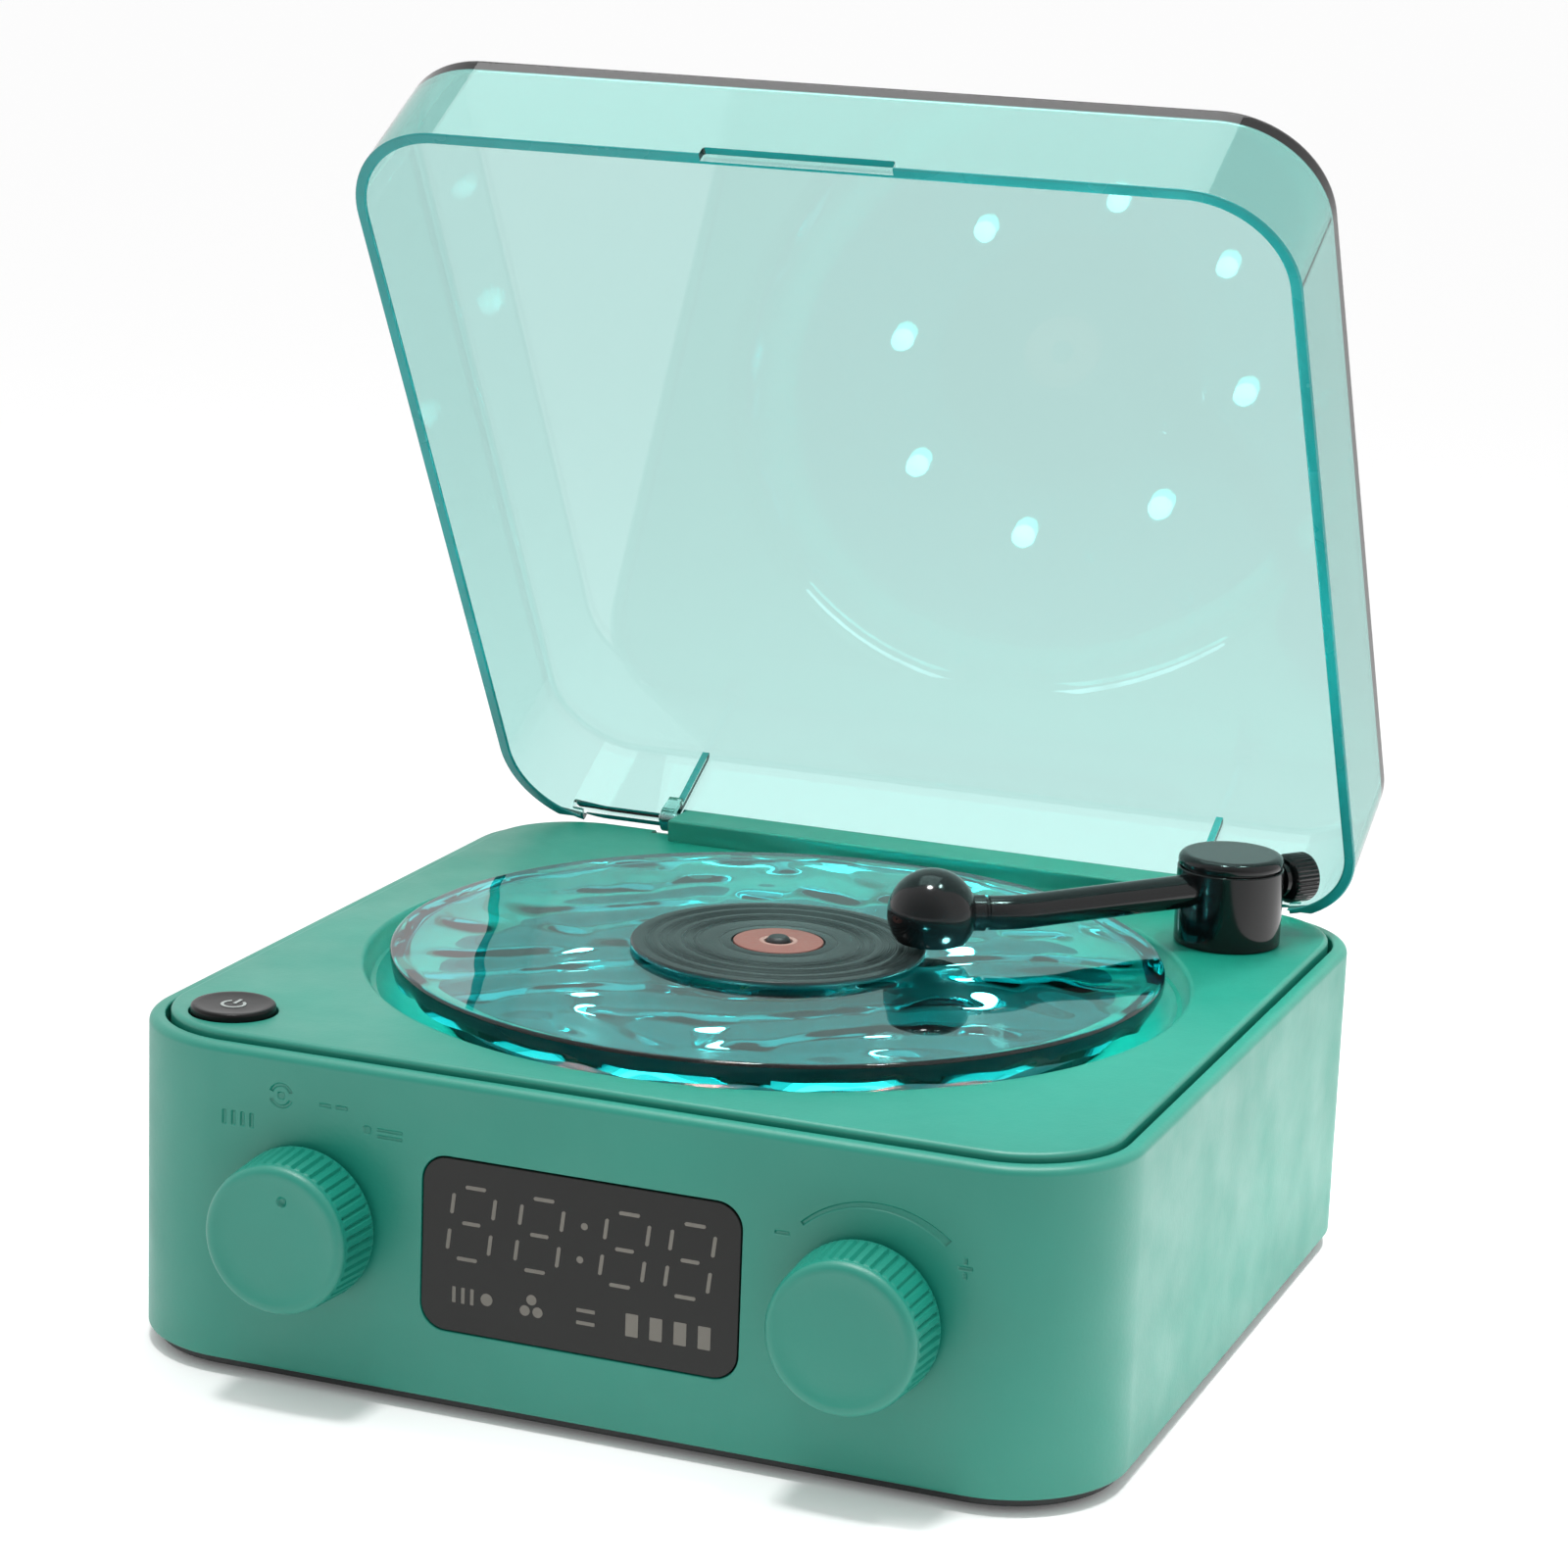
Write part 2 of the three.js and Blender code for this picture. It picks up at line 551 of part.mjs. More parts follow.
// ---------------------------------------------------------------- tonearm
// The arm's own group stands on the pivot with +X along the straight tube, away from the post.
function makeTonearm() {
  const arm = new THREE.Group();
  arm.position.set(POST_X, POST_Y, 0);
  arm.rotation.z = rad(ARM_DEG);
  cabinet.add(arm);

  const postBottom = DECK_TOP + GAP;
  const post = cut(
    turned([
      [0, postBottom],
      [POST_R - 0.4, postBottom],
      [POST_R, postBottom + 0.4],
      [POST_R, POST_TOP],
      [0, POST_TOP],
    ], 28),
    rod(SHAFT_R + GAP, postBottom - 1, 50.5, 0, 0, 16),
    rodX(ARM_R + GAP, 3, POST_R + 2, 0, ARM_Z),
    rodX(1.4 + GAP, -POST_R - 2, -3, 0, ARM_Z),
  );
  add(arm, 'tonearm_post', post, GLOSS_BLACK);
  add(arm, 'tonearm_cap', turned([
    [0, POST_TOP + GAP],
    [CAP_R, POST_TOP + GAP],
    [CAP_R, CAP_TOP - CAP_BEVEL],
    [CAP_R - CAP_BEVEL, CAP_TOP],
    [0, CAP_TOP],
  ], 28), GLOSS_BLACK);

  const bend = rad(ARM_BEND_DEG - ARM_DEG);
  const knee = new THREE.Vector3(ARM_STRAIGHT, 0, ARM_Z);
  const toHead = new THREE.Vector3(Math.cos(bend), Math.sin(bend), 0);
  const head = knee.clone().addScaledVector(toHead, HEAD_REACH);
  const route = new THREE.CurvePath();
  const bendIn = knee.clone().add(new THREE.Vector3(-2.5, 0, 0));
  const bendOut = knee.clone().addScaledVector(toHead, 2.5);
  const tubeEnd = knee.clone().addScaledVector(toHead, HEAD_REACH - 4.4);
  route.add(new THREE.LineCurve3(new THREE.Vector3(3.4, 0, ARM_Z), bendIn));
  route.add(new THREE.QuadraticBezierCurve3(bendIn, knee, bendOut));
  route.add(new THREE.LineCurve3(bendOut, tubeEnd));
  const section = new THREE.Shape().absarc(0, 0, ARM_R, 0, 2 * Math.PI);
  const tube = new THREE.ExtrudeGeometry(section, { extrudePath: route, steps: 20, curveSegments: 6 });
  add(arm, 'tonearm_tube', tube, GLOSS_BLACK);

  const ball = cut(
    new THREE.SphereGeometry(HEAD_R, 20, 12).translate(head.x, head.y, ARM_Z),
    block(head.x - 9, head.x + 9, head.y - 9, head.y + 9, ARM_Z - 9, HEAD_FLAT),
    rodX(ARM_R + GAP, -HEAD_REACH, -4.1, 0, 0).rotateZ(bend).translate(head.x, head.y, ARM_Z),
  );
  add(arm, 'tonearm_head', ball, GLOSS_BLACK);

  const neck = rodX(1.4, -WEIGHT_END + 4, -3.4, 0, ARM_Z);
  const drum = rodX(WEIGHT_R, -WEIGHT_END, -WEIGHT_END + 4.8, 0, ARM_Z, 28);
  add(arm, 'counterweight', join(neck, drum), GLOSS_BLACK);

  const clip = rod(3.3, 36.5, 37.6, 0, 0, 20);
  add(arm, 'tonearm_shaft', join(rod(SHAFT_R, 37, 50.2, 0, 0, 16), clip), STEEL);
  add(arm, 'tonearm_bush', turned([
    [SHAFT_R + GAP, 38],
    [4.6, 38],
    [4.6, DECK_TOP - DECK_THICK - GAP],
    [3.4, DECK_TOP - DECK_THICK - GAP],
    [3.4, DECK_TOP - 0.2],
    [SHAFT_R + GAP, DECK_TOP - 0.2],
    [SHAFT_R + GAP, 38],
  ], 20), BRASS);
}

// ---------------------------------------------------------------- front knobs
function knobOutline() {
  const points = [];
  for (let i = 0; i < KNOB_FLUTES; i++) {
    const angle = 2 * Math.PI * i / KNOB_FLUTES;
    points.push([KNOB_R, angle], [KNOB_R - 0.35, angle + Math.PI / KNOB_FLUTES]);
  }
  return polarOutline(points);
}

// Knob, shaft and control body; the knob's shaft lies along Y through (x, KNOB_Z).
function makeKnob(knobName, shaftName, bodyName, x) {
  const wallFace = -DEPTH / 2;
  const face = wallFace - KNOB_FACE;
  const back = wallFace - 0.4;
  const bore = SHAFT_R + GAP;
  const rim = prismY(knobOutline(), face + 1.2, back, x, KNOB_Z);
  const crown = new THREE.CylinderGeometry(KNOB_R - 0.4, KNOB_R - 1.2, 1.3, KNOB_FLUTES);
  crown.translate(x, face + 0.65, KNOB_Z);
  add(cabinet, knobName, cut(join(rim, crown), rodY(bore, back - 6, back + 1, x, KNOB_Z, 16)), PLASTIC_GREEN);
  add(cabinet, shaftName, rodY(SHAFT_R, back - 5.7, wallFace + 7.4, x, KNOB_Z, 16), STEEL);
  const body = cut(
    join(
      block(x - 6.5, x + 6.5, wallFace + 2.6, wallFace + 9, KNOB_Z - 6.5, KNOB_Z + 6.5),
      rodY(3.4, wallFace, wallFace + 3, x, KNOB_Z),
    ),
    rodY(bore, wallFace - 1, wallFace + 7.7, x, KNOB_Z, 16),
  );
  add(cabinet, bodyName, body, STEEL);
}

// ---------------------------------------------------------------- clock display
function makeDisplay() {
  const front = -DEPTH / 2;
  const outline = roundedOutline(WINDOW_W, WINDOW_H, WINDOW_CORNER);
  add(cabinet, 'display_window', prismY(outline, front, front + 1.8, 0, WINDOW_Z), GLOSS_BLACK);
  const low = WINDOW_Z - 10;
  const high = WINDOW_Z + 10;
  add(cabinet, 'display_module', block(-21, 21, front + 2.1, front + 7, low, high), NYLON);
  add(cabinet, 'display_board', block(-25, 25, front + 7.3, front + 8.9, low - 3, high + 3), BOARD_GREEN);
}

// ---------------------------------------------------------------- power key
function makePowerKey() {
  const key = turned([
    [0, KEY_STEM_END],
    [2, KEY_STEM_END],
    [2, KEY_TOP - 3],
    [KEY_R, KEY_TOP - 3],
    [KEY_R, KEY_TOP - 0.5],
    [KEY_R - 0.5, KEY_TOP],
    [0, KEY_TOP],
  ], 28).translate(KEY_X, KEY_Y, 0);
  add(cabinet, 'power_key', key, GLOSS_BLACK);
  const body = block(-3, 3, -3, 3, 34.9, 37);
  const plunger = rod(1.6, 36.5, KEY_STEM_END - 0.9, 0, 0, 16);
  add(cabinet, 'key_switch', join(body, plunger).translate(KEY_X, KEY_Y, 0), STEEL);
  add(cabinet, 'key_board', block(-62, -46, -60, -45, 33, 34.6), BOARD_GREEN);
}

// ---------------------------------------------------------------- speaker and rear fittings
// Solid of revolution about the speaker's axis, which points to the rear.
function speakerTurned(profile, sides) {
  return turned(profile, sides).rotateX(-Math.PI / 2).translate(0, 0, GRILLE_Z);
}

function makeSpeaker() {
  const flange = DEPTH / 2 - WALL - GAP;
  add(cabinet, 'speaker_frame', speakerTurned([
    [10.6, flange - 10],
    [SPEAKER_R, flange - 2],
    [SPEAKER_R, flange],
    [13.8, flange],
    [13.8, flange - 1.4],
    [9.4, flange - 8.8],
    [9.4, flange - 10],
    [10.6, flange - 10],
  ], 24), STEEL);
  add(cabinet, 'speaker_cone', speakerTurned([
    [0, flange - 6.4],
    [4, flange - 6.4],
    [13.4, flange - 1],
    [13.4, flange - 0.4],
    [4, flange - 5.6],
    [0, flange - 4.4],
  ], 24), { color: 0x2a2a2c, roughness: 0.85, metalness: 0 });
  add(cabinet, 'speaker_magnet', speakerTurned([
    [0, flange - 17],
    [11, flange - 17],
    [11, flange - 10.3],
    [0, flange - 10.3],
  ], 24), STEEL);
}

function makeRearGrille() {
  const rear = DEPTH / 2;
  const outline = roundedOutline(GRILLE_W, GRILLE_H, 4);
  const plate = prismY(outline, rear - 1.8, rear, 0, GRILLE_Z);
  const slots = [];
  for (let i = -6; i <= 6; i++) {
    slots.push(block(i * 4 - 0.95, i * 4 + 0.95, rear - 4, rear + 1, GRILLE_Z - 9, GRILLE_Z + 9));
  }
  add(cabinet, 'rear_grille', cut(plate, ...slots), PLASTIC_BLACK);
}

function makePorts() {
  const rear = DEPTH / 2;
  const mouth = rear - 0.6;
  const usbOuter = roundedOutline(USB_W, USB_H, USB_H / 2);
  const usbInner = roundedOutline(USB_W - 0.7, USB_H - 0.7, USB_H / 2 - 0.35);
  const usb = join(
    cut(
      prismY(usbOuter, rear - 8, mouth, USB_X, USB_Z, 4),
      prismY(usbInner, rear - 7, rear + 1, USB_X, USB_Z, 4),
    ),
    block(USB_X - 3.3, USB_X + 3.3, rear - 7.5, rear - 1.6, USB_Z - 0.35, USB_Z + 0.35),
  );
  add(cabinet, 'usb_port', usb, STEEL);
  const card = cut(
    prismY(roundedOutline(CARD_W, CARD_H, 0.3), rear - 14, mouth, CARD_X, CARD_Z),
    block(CARD_X - 5.6, CARD_X + 5.6, rear - 13, rear + 1, CARD_Z - 0.5, CARD_Z + 0.5),
  );
  add(cabinet, 'card_slot', card, STEEL);
  add(cabinet, 'port_board', block(-54.6, -29, rear - 18, rear - WALL - 1, 7.2, 8.8), BOARD_GREEN);
}

// ---------------------------------------------------------------- electronics on the base
function makeElectronics() {
  const boardTop = 7.6;
  const board = join(
    block(-10, 50, -40, 30, boardTop - 1.6, boardTop),
    block(12, 22, 0, 10, boardTop - 0.5, boardTop + 1.2),
    block(28, 34, -12, -6, boardTop - 0.5, boardTop + 1),
    block(36, 46, 14, 26, boardTop - 0.5, boardTop + 1.6),
    rod(2.5, boardTop - 0.5, boardTop + 6, 42, -30, 16),
    rod(2.5, boardTop - 0.5, boardTop + 6, 34, -30, 16),
  );
  add(cabinet, 'main_board', board, BOARD_GREEN);
  const cell = prism(roundedOutline(36, 54, 3), 2, 10, 3).translate(-34, -2, 0);
  add(cabinet, 'battery', cell, { color: 0xc9ccd0, roughness: 0.4, metalness: 0.6 });
}

// ---------------------------------------------------------------- base plate, feet and screws
function makeBase() {
  const flange = prism(cabinetOutline(BASE_INSET), BASE_BOTTOM, -GAP);
  const plug = prism(cabinetOutline(WALL + GAP), -1, BASE_TOP);
  const boardPosts = [[-6, -36], [46, -36], [-6, 26], [46, 26]].map(([x, y]) => rod(2, 1, 5.7, x, y, 8));
  const portPosts = [[-53, 52], [-32, 52]].map(([x, y]) => rod(2, 1, 6.9, x, y, 8));
  const openings = corners.flatMap(([, sx, sy]) => [
    rod(2.7, -3, 0.6, sx * BOSS_X, sy * BOSS_Y, 16),
    rod(1.3, -3, 3, sx * BOSS_X, sy * BOSS_Y, 10),
    rod(FOOT_R + GAP, -3, BASE_BOTTOM + 0.8, sx * FOOT_X, sy * FOOT_Y, 20),
  ]);
  const plate = cut(join(flange, plug, ...boardPosts, ...portPosts), ...openings);
  add(cabinet, 'base_plate', plate, PLASTIC_BLACK);

  for (const [corner, sx, sy] of corners) {
    const foot = turned([
      [0, -STANDOFF],
      [FOOT_R - 0.4, -STANDOFF],
      [FOOT_R, -STANDOFF + 0.4],
      [FOOT_R, BASE_BOTTOM + 0.5],
      [0, BASE_BOTTOM + 0.5],
    ], 20);
    add(cabinet, `foot_${corner}`, foot.translate(sx * FOOT_X, sy * FOOT_Y, 0), RUBBER);
    const screw = turned([
      [0, -1],
      [2, -1],
      [2.4, -0.6],
      [2.4, GAP],
      [1, GAP],
      [1, 9],
      [0, 9],
    ], 12);
    add(cabinet, `base_screw_${corner}`, screw.translate(sx * BOSS_X, sy * BOSS_Y, 0), STEEL);
  }
}

makeShell();
makeDeck();
makeHingeBar();
makeLid();
makeTurntable();
makeLightBoard();
makeDrive();
makeTonearm();
makeKnob('mode_knob', 'mode_shaft', 'mode_selector', -KNOB_X);
makeKnob('volume_knob', 'volume_shaft', 'volume_control', KNOB_X);
makeDisplay();
makePowerKey();
makeSpeaker();
makeRearGrille();
makePorts();
makeElectronics();
makeBase();

export default player;
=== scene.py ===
# Looks of a small desktop speaker and night light in the shape of a lidded record player.
# Shapes are written in millimetres in the cabinet's own coordinates: centre of the cabinet in X and Y,
# Z = 0 at the lower edge of its shell, front towards -Y.
import json
from math import asin, cos, hypot, pi, radians, sin, sqrt

import bmesh
import bpy
from mathutils import Matrix, Vector


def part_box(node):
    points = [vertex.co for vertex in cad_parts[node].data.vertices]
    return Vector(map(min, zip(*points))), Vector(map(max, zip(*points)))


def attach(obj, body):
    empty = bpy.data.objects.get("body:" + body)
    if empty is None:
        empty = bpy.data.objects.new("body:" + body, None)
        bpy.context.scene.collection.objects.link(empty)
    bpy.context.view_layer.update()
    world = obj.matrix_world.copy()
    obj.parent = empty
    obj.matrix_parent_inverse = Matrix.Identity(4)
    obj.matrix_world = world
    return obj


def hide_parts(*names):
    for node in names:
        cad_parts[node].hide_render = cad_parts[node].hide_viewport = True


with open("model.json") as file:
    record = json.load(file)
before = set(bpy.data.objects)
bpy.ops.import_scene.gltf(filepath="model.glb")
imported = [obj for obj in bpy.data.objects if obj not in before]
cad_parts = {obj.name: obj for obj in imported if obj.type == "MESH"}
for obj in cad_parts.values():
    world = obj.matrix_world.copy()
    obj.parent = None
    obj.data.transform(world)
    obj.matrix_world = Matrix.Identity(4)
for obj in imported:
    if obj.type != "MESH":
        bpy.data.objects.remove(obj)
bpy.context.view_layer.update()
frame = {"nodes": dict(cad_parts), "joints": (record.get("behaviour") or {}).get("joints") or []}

MM = 0.001
shell_low, shell_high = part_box("body_shell")
ORIGIN = Vector(((shell_low.x + shell_high.x) / 2, (shell_low.y + shell_high.y) / 2, shell_low.z))
scene = bpy.context.scene


def box_mm(node):
    """Lowest and highest corner of a CAD node, in cabinet millimetres."""
    low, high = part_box(node)
    return (low - ORIGIN) / MM, (high - ORIGIN) / MM


def centre_mm(node):
    low, high = box_mm(node)
    return (low + high) / 2


# ---------------- driving dimensions, mostly from the frame
SHELL_LOW, SHELL_HIGH = box_mm("body_shell")
WIDTH = SHELL_HIGH.x - SHELL_LOW.x
DEPTH = SHELL_HIGH.y - SHELL_LOW.y
HEIGHT = SHELL_HIGH.z
FRONT = -DEPTH / 2
REAR = DEPTH / 2
CORNER = 17
WALL = 2.2
SHAFT_HOLE_R = 3.7
DECK_TOP = box_mm("top_deck")[1].z
DECK_INSET = WIDTH / 2 - box_mm("top_deck")[1].x
DECK_THICK = 2.6
AXIS_Y = centre_mm("platter_gear").y
WELL_R = 58.2
WELL_FLOOR = 38.6
DISC_LOW, DISC_HIGH = box_mm("ripple_disc")
DISC_R = DISC_HIGH.x
DISC_TOP = DISC_HIGH.z
DISC_HOLE = 2.5
RECORD_R = box_mm("mini_record")[1].x
RECORD_LOW = box_mm("mini_record")[0].z
RECORD_TOP = box_mm("mini_record")[1].z
LABEL_R = box_mm("record_label")[1].x
SPINDLE_R = 1.7


# ---------------- camera
CAMERA_AZIMUTH = radians(20.902)
CAMERA_ELEVATION = radians(13.615)
CAMERA_ROLL = radians(2.15)
CAMERA_PLACE = Vector((0.21122, -0.55404, 0.21700))
CAMERA_LENS = 99.627
CAMERA_SENSOR = 36


def make_camera():
    back = Vector((
        sin(CAMERA_AZIMUTH) * cos(CAMERA_ELEVATION),
        -cos(CAMERA_AZIMUTH) * cos(CAMERA_ELEVATION),
        sin(CAMERA_ELEVATION),
    ))
    level = Vector((cos(CAMERA_AZIMUTH), sin(CAMERA_AZIMUTH), 0))
    upright = back.cross(level)
    right = level * cos(CAMERA_ROLL) + upright * sin(CAMERA_ROLL)
    up = upright * cos(CAMERA_ROLL) - level * sin(CAMERA_ROLL)
    camera = bpy.data.objects.new("camera", bpy.data.cameras.new("camera"))
    camera.data.lens = CAMERA_LENS
    camera.data.sensor_width = CAMERA_SENSOR
    camera.matrix_world = Matrix.Translation(CAMERA_PLACE) @ Matrix((right, up, back)).transposed().to_4x4()
    scene.collection.objects.link(camera)
    scene.camera = camera


# ---------------- outlines and skins
def arc(u, v, radius, start, end, steps):
    """Points of an arc round (u, v), angles in degrees."""
    angles = [radians(start + (end - start) * i / steps) for i in range(steps + 1)]
    return [(u + radius * cos(a), v + radius * sin(a)) for a in angles]


def rounded_rectangle(width, height, corner, steps=16):
    w, h = width / 2 - corner, height / 2 - corner
    quarters = [(w, -h, -90), (w, h, 0), (-w, h, 90), (-w, -h, 180)]
    return [p for u, v, start in quarters for p in arc(u, v, corner, start, start + 90, steps)]


def skin(rings, closed=False):
    """Points and faces over rings of equal length. A closed skin joins its last ring to its first."""
    count = len(rings[0])
    points = [p for ring in rings for p in ring]
    faces = []
    for r in range(len(rings) if closed else len(rings) - 1):
        a, b = r * count, (r + 1) % len(rings) * count
        for i in range(count):
            j = (i + 1) % count
            faces.append((a + i, a + j, b + j, b + i))
    if not closed:
        faces.append(tuple(reversed(range(count))))
        faces.append(tuple(range(len(points) - count, len(points))))
    return points, faces


def turned_rings(profile, sides, x=0, y=0):
    """Rings about an upright axis at (x, y) for a profile of (radius, z) points."""
    turns = [2 * pi * i / sides for i in range(sides)]
    return [[(x + r * cos(a), y + r * sin(a), z) for a in turns] for r, z in profile]


def moved(points, matrix):
    return [matrix @ Vector(p) for p in points]


def raw_object(name, points, faces):
    """A mesh object from points in cabinet millimetres, with its faces turned outwards."""
    mesh = bpy.data.meshes.new(name)
    mesh.from_pydata([ORIGIN + Vector(p) * MM for p in points], [], faces)
    obj = bpy.data.objects.new(name, mesh)
    scene.collection.objects.link(obj)
    turn_outwards(mesh)
    return obj


def turn_outwards(mesh):
    work = bmesh.new()
    work.from_mesh(mesh)
    bmesh.ops.recalc_face_normals(work, faces=work.faces)
    work.to_mesh(mesh)
    work.free()


def turned(name, profile, sides, x=0, y=0, closed=False):
    """A turned object; a closed profile runs all the way round its own section."""
    return raw_object(name, *skin(turned_rings(profile, sides, x, y), closed))


def several(parts):
    """One set of points and faces from several."""
    points, faces = [], []
    for more_points, more_faces in parts:
        start = len(points)
        points += list(more_points)
        faces += [tuple(start + i for i in face) for face in more_faces]
    return points, faces


def prism(outline, z0, z1):
    return skin([[(u, v, z0) for u, v in outline], [(u, v, z1) for u, v in outline]])


def block(x0, x1, y0, y1, z0, z1):
    return prism([(x0, y0), (x1, y0), (x1, y1), (x0, y1)], z0, z1)


def facing_front(outline, y0, y1):
    """Prism of an outline drawn in X and Z, from y0 to y1."""
    return skin([[(u, y0, v) for u, v in outline], [(u, y1, v) for u, v in outline]])


def facing_side(outline, x0, x1):
    """Prism of an outline drawn in Y and Z, from x0 to x1."""
    return skin([[(x0, u, v) for u, v in outline], [(x1, u, v) for u, v in outline]])


def carve(obj, parts, operation="DIFFERENCE"):
    """Cuts the parts from the object, or joins them to it."""
    tool = raw_object("tool", *several(parts))
    modifier = obj.modifiers.new("carve", "BOOLEAN")
    modifier.operation = operation
    modifier.solver = "EXACT"
    modifier.object = tool
    solid = bpy.data.meshes.new_from_object(obj.evaluated_get(bpy.context.evaluated_depsgraph_get()))
    solid.name = obj.name
    obj.modifiers.clear()
    obj.data = solid
    bpy.data.objects.remove(tool)


def piece(obj, material, body, replaces=(), smooth=30):
    """Finishes a piece: shading, material, the body it rides on and the nodes it stands for."""
    if material:
        obj.data.materials.clear()
        obj.data.materials.append(material)
    obj.data.shade_smooth()
    obj.data.set_sharp_from_angle(angle=radians(smooth))
    weighted = obj.modifiers.new("face_weighted_normals", "WEIGHTED_NORMAL")
    weighted.keep_sharp = True
    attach(obj, body)
    if replaces:
        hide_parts(*replaces)


# ---------------- material helpers
# Scales are features per metre and depths are metres.
MOTTLE_SCALE = 35
GLOSS_SCALE = 90
METAL_DARKER = 0.82
ACRYLIC_IOR = 1.47
BLEND_FIRST, BLEND_SECOND, BLEND_RESULT = 6, 7, 2    # colour sockets of a mix node


def new_material(name):
    material = bpy.data.materials.new(name)
    material.use_nodes = True
    return material, material.node_tree, material.node_tree.nodes["Principled BSDF"]


def noise(tree, scale, detail=3, stretch=(1, 1, 1)):
    """Noise over the object's own coordinates."""
    place = tree.nodes.new("ShaderNodeTexCoord")
    mapping = tree.nodes.new("ShaderNodeMapping")
    mapping.inputs["Scale"].default_value = stretch
    texture = tree.nodes.new("ShaderNodeTexNoise")
    texture.inputs["Scale"].default_value = scale
    texture.inputs["Detail"].default_value = detail
    tree.links.new(place.outputs["Object"], mapping.inputs["Vector"])
    tree.links.new(mapping.outputs["Vector"], texture.inputs["Vector"])
    return texture.outputs["Fac"]


def ranged(tree, value, low, high, start=0.3, end=0.7):
    node = tree.nodes.new("ShaderNodeMapRange")
    node.inputs["From Min"].default_value = start
    node.inputs["From Max"].default_value = end
    node.inputs["To Min"].default_value = low
    node.inputs["To Max"].default_value = high
    tree.links.new(value, node.inputs["Value"])
    return node.outputs["Result"]


def blend_colours(tree, factor, first, second):
    node = tree.nodes.new("ShaderNodeMix")
    node.data_type = "RGBA"
    node.inputs[BLEND_FIRST].default_value = (*first, 1)
    node.inputs[BLEND_SECOND].default_value = (*second, 1)
    tree.links.new(factor, node.inputs["Factor"])
    return node.outputs[BLEND_RESULT]


def bump(tree, shader, height, depth, strength=1.0):
    node = tree.nodes.new("ShaderNodeBump")
    node.inputs["Strength"].default_value = strength
    node.inputs["Distance"].default_value = depth
    tree.links.new(height, node.inputs["Height"])
    tree.links.new(node.outputs["Normal"], shader.inputs["Normal"])


def moulded(name, colour, rough, spread=0.06, grain=1400, depth=0.00002, tint=0.05, specular=0.5):
    """Moulded plastic: faint mottling, uneven gloss and the fine grain of the tool."""
    material, tree, shader = new_material(name)
    darker = tuple(c * (1 - tint) for c in colour)
    lighter = tuple(min(1, c * (1 + tint)) for c in colour)
    mottling = ranged(tree, noise(tree, MOTTLE_SCALE), 0, 1)
    gloss = ranged(tree, noise(tree, GLOSS_SCALE), rough - spread, rough + spread)
    tree.links.new(blend_colours(tree, mottling, darker, lighter), shader.inputs["Base Color"])
    tree.links.new(gloss, shader.inputs["Roughness"])
    bump(tree, shader, noise(tree, grain, 2), depth)
    shader.inputs["Specular IOR Level"].default_value = specular
    return material


def metal(name, colour, rough, stretch=(1, 1, 1), scale=600):
    """Metal with the lines of its drawing or turning."""
    material, tree, shader = new_material(name)
    lines = noise(tree, scale, 4, stretch)
    darker = tuple(c * METAL_DARKER for c in colour)
    shade = blend_colours(tree, ranged(tree, lines, 0, 1), darker, colour)
    tree.links.new(shade, shader.inputs["Base Color"])
    tree.links.new(ranged(tree, lines, rough * 0.7, rough * 1.3), shader.inputs["Roughness"])
    bump(tree, shader, lines, 0.00002, 0.5)
    shader.inputs["Metallic"].default_value = 1
    return material


def clear_plastic(name, absorbed, density, rough, ripple, ripple_depth):
    """Clear moulding, tinted by its thickness. Light from the lamps goes straight through it."""
    material, tree, shader = new_material(name)
    shader.inputs["Transmission Weight"].default_value = 1
    shader.inputs["IOR"].default_value = ACRYLIC_IOR
    shader.inputs["Base Color"].default_value = (1, 1, 1, 1)
    tree.links.new(ranged(tree, noise(tree, 60), rough * 0.5, rough * 1.5), shader.inputs["Roughness"])
    bump(tree, shader, noise(tree, ripple, 1), ripple_depth)
    straight = tree.nodes.new("ShaderNodeBsdfTransparent")
    path = tree.nodes.new("ShaderNodeLightPath")
    mix = tree.nodes.new("ShaderNodeMixShader")
    output = tree.nodes["Material Output"]
    tree.links.new(path.outputs["Is Shadow Ray"], mix.inputs["Fac"])
    tree.links.new(shader.outputs["BSDF"], mix.inputs[1])
    tree.links.new(straight.outputs["BSDF"], mix.inputs[2])
    tree.links.new(mix.outputs["Shader"], output.inputs["Surface"])
    volume = tree.nodes.new("ShaderNodeVolumeAbsorption")
    volume.inputs["Color"].default_value = (*absorbed, 1)
    volume.inputs["Density"].default_value = density
    tree.links.new(volume.outputs["Volume"], output.inputs["Volume"])
    return material


def radial(tree, y):
    """Distance in metres from the upright axis through (0, y) in cabinet millimetres."""
    place = tree.nodes.new("ShaderNodeTexCoord")
    shift = tree.nodes.new("ShaderNodeVectorMath")
    shift.operation = "MULTIPLY_ADD"
    shift.inputs[1].default_value = (1, 1, 0)
    axis = ORIGIN + Vector((0, y, 0)) * MM
    shift.inputs[2].default_value = (-axis.x, -axis.y, 0)
    length = tree.nodes.new("ShaderNodeVectorMath")
    length.operation = "LENGTH"
    tree.links.new(place.outputs["Object"], shift.inputs[0])
    tree.links.new(shift.outputs["Vector"], length.inputs[0])
    return length.outputs["Value"]


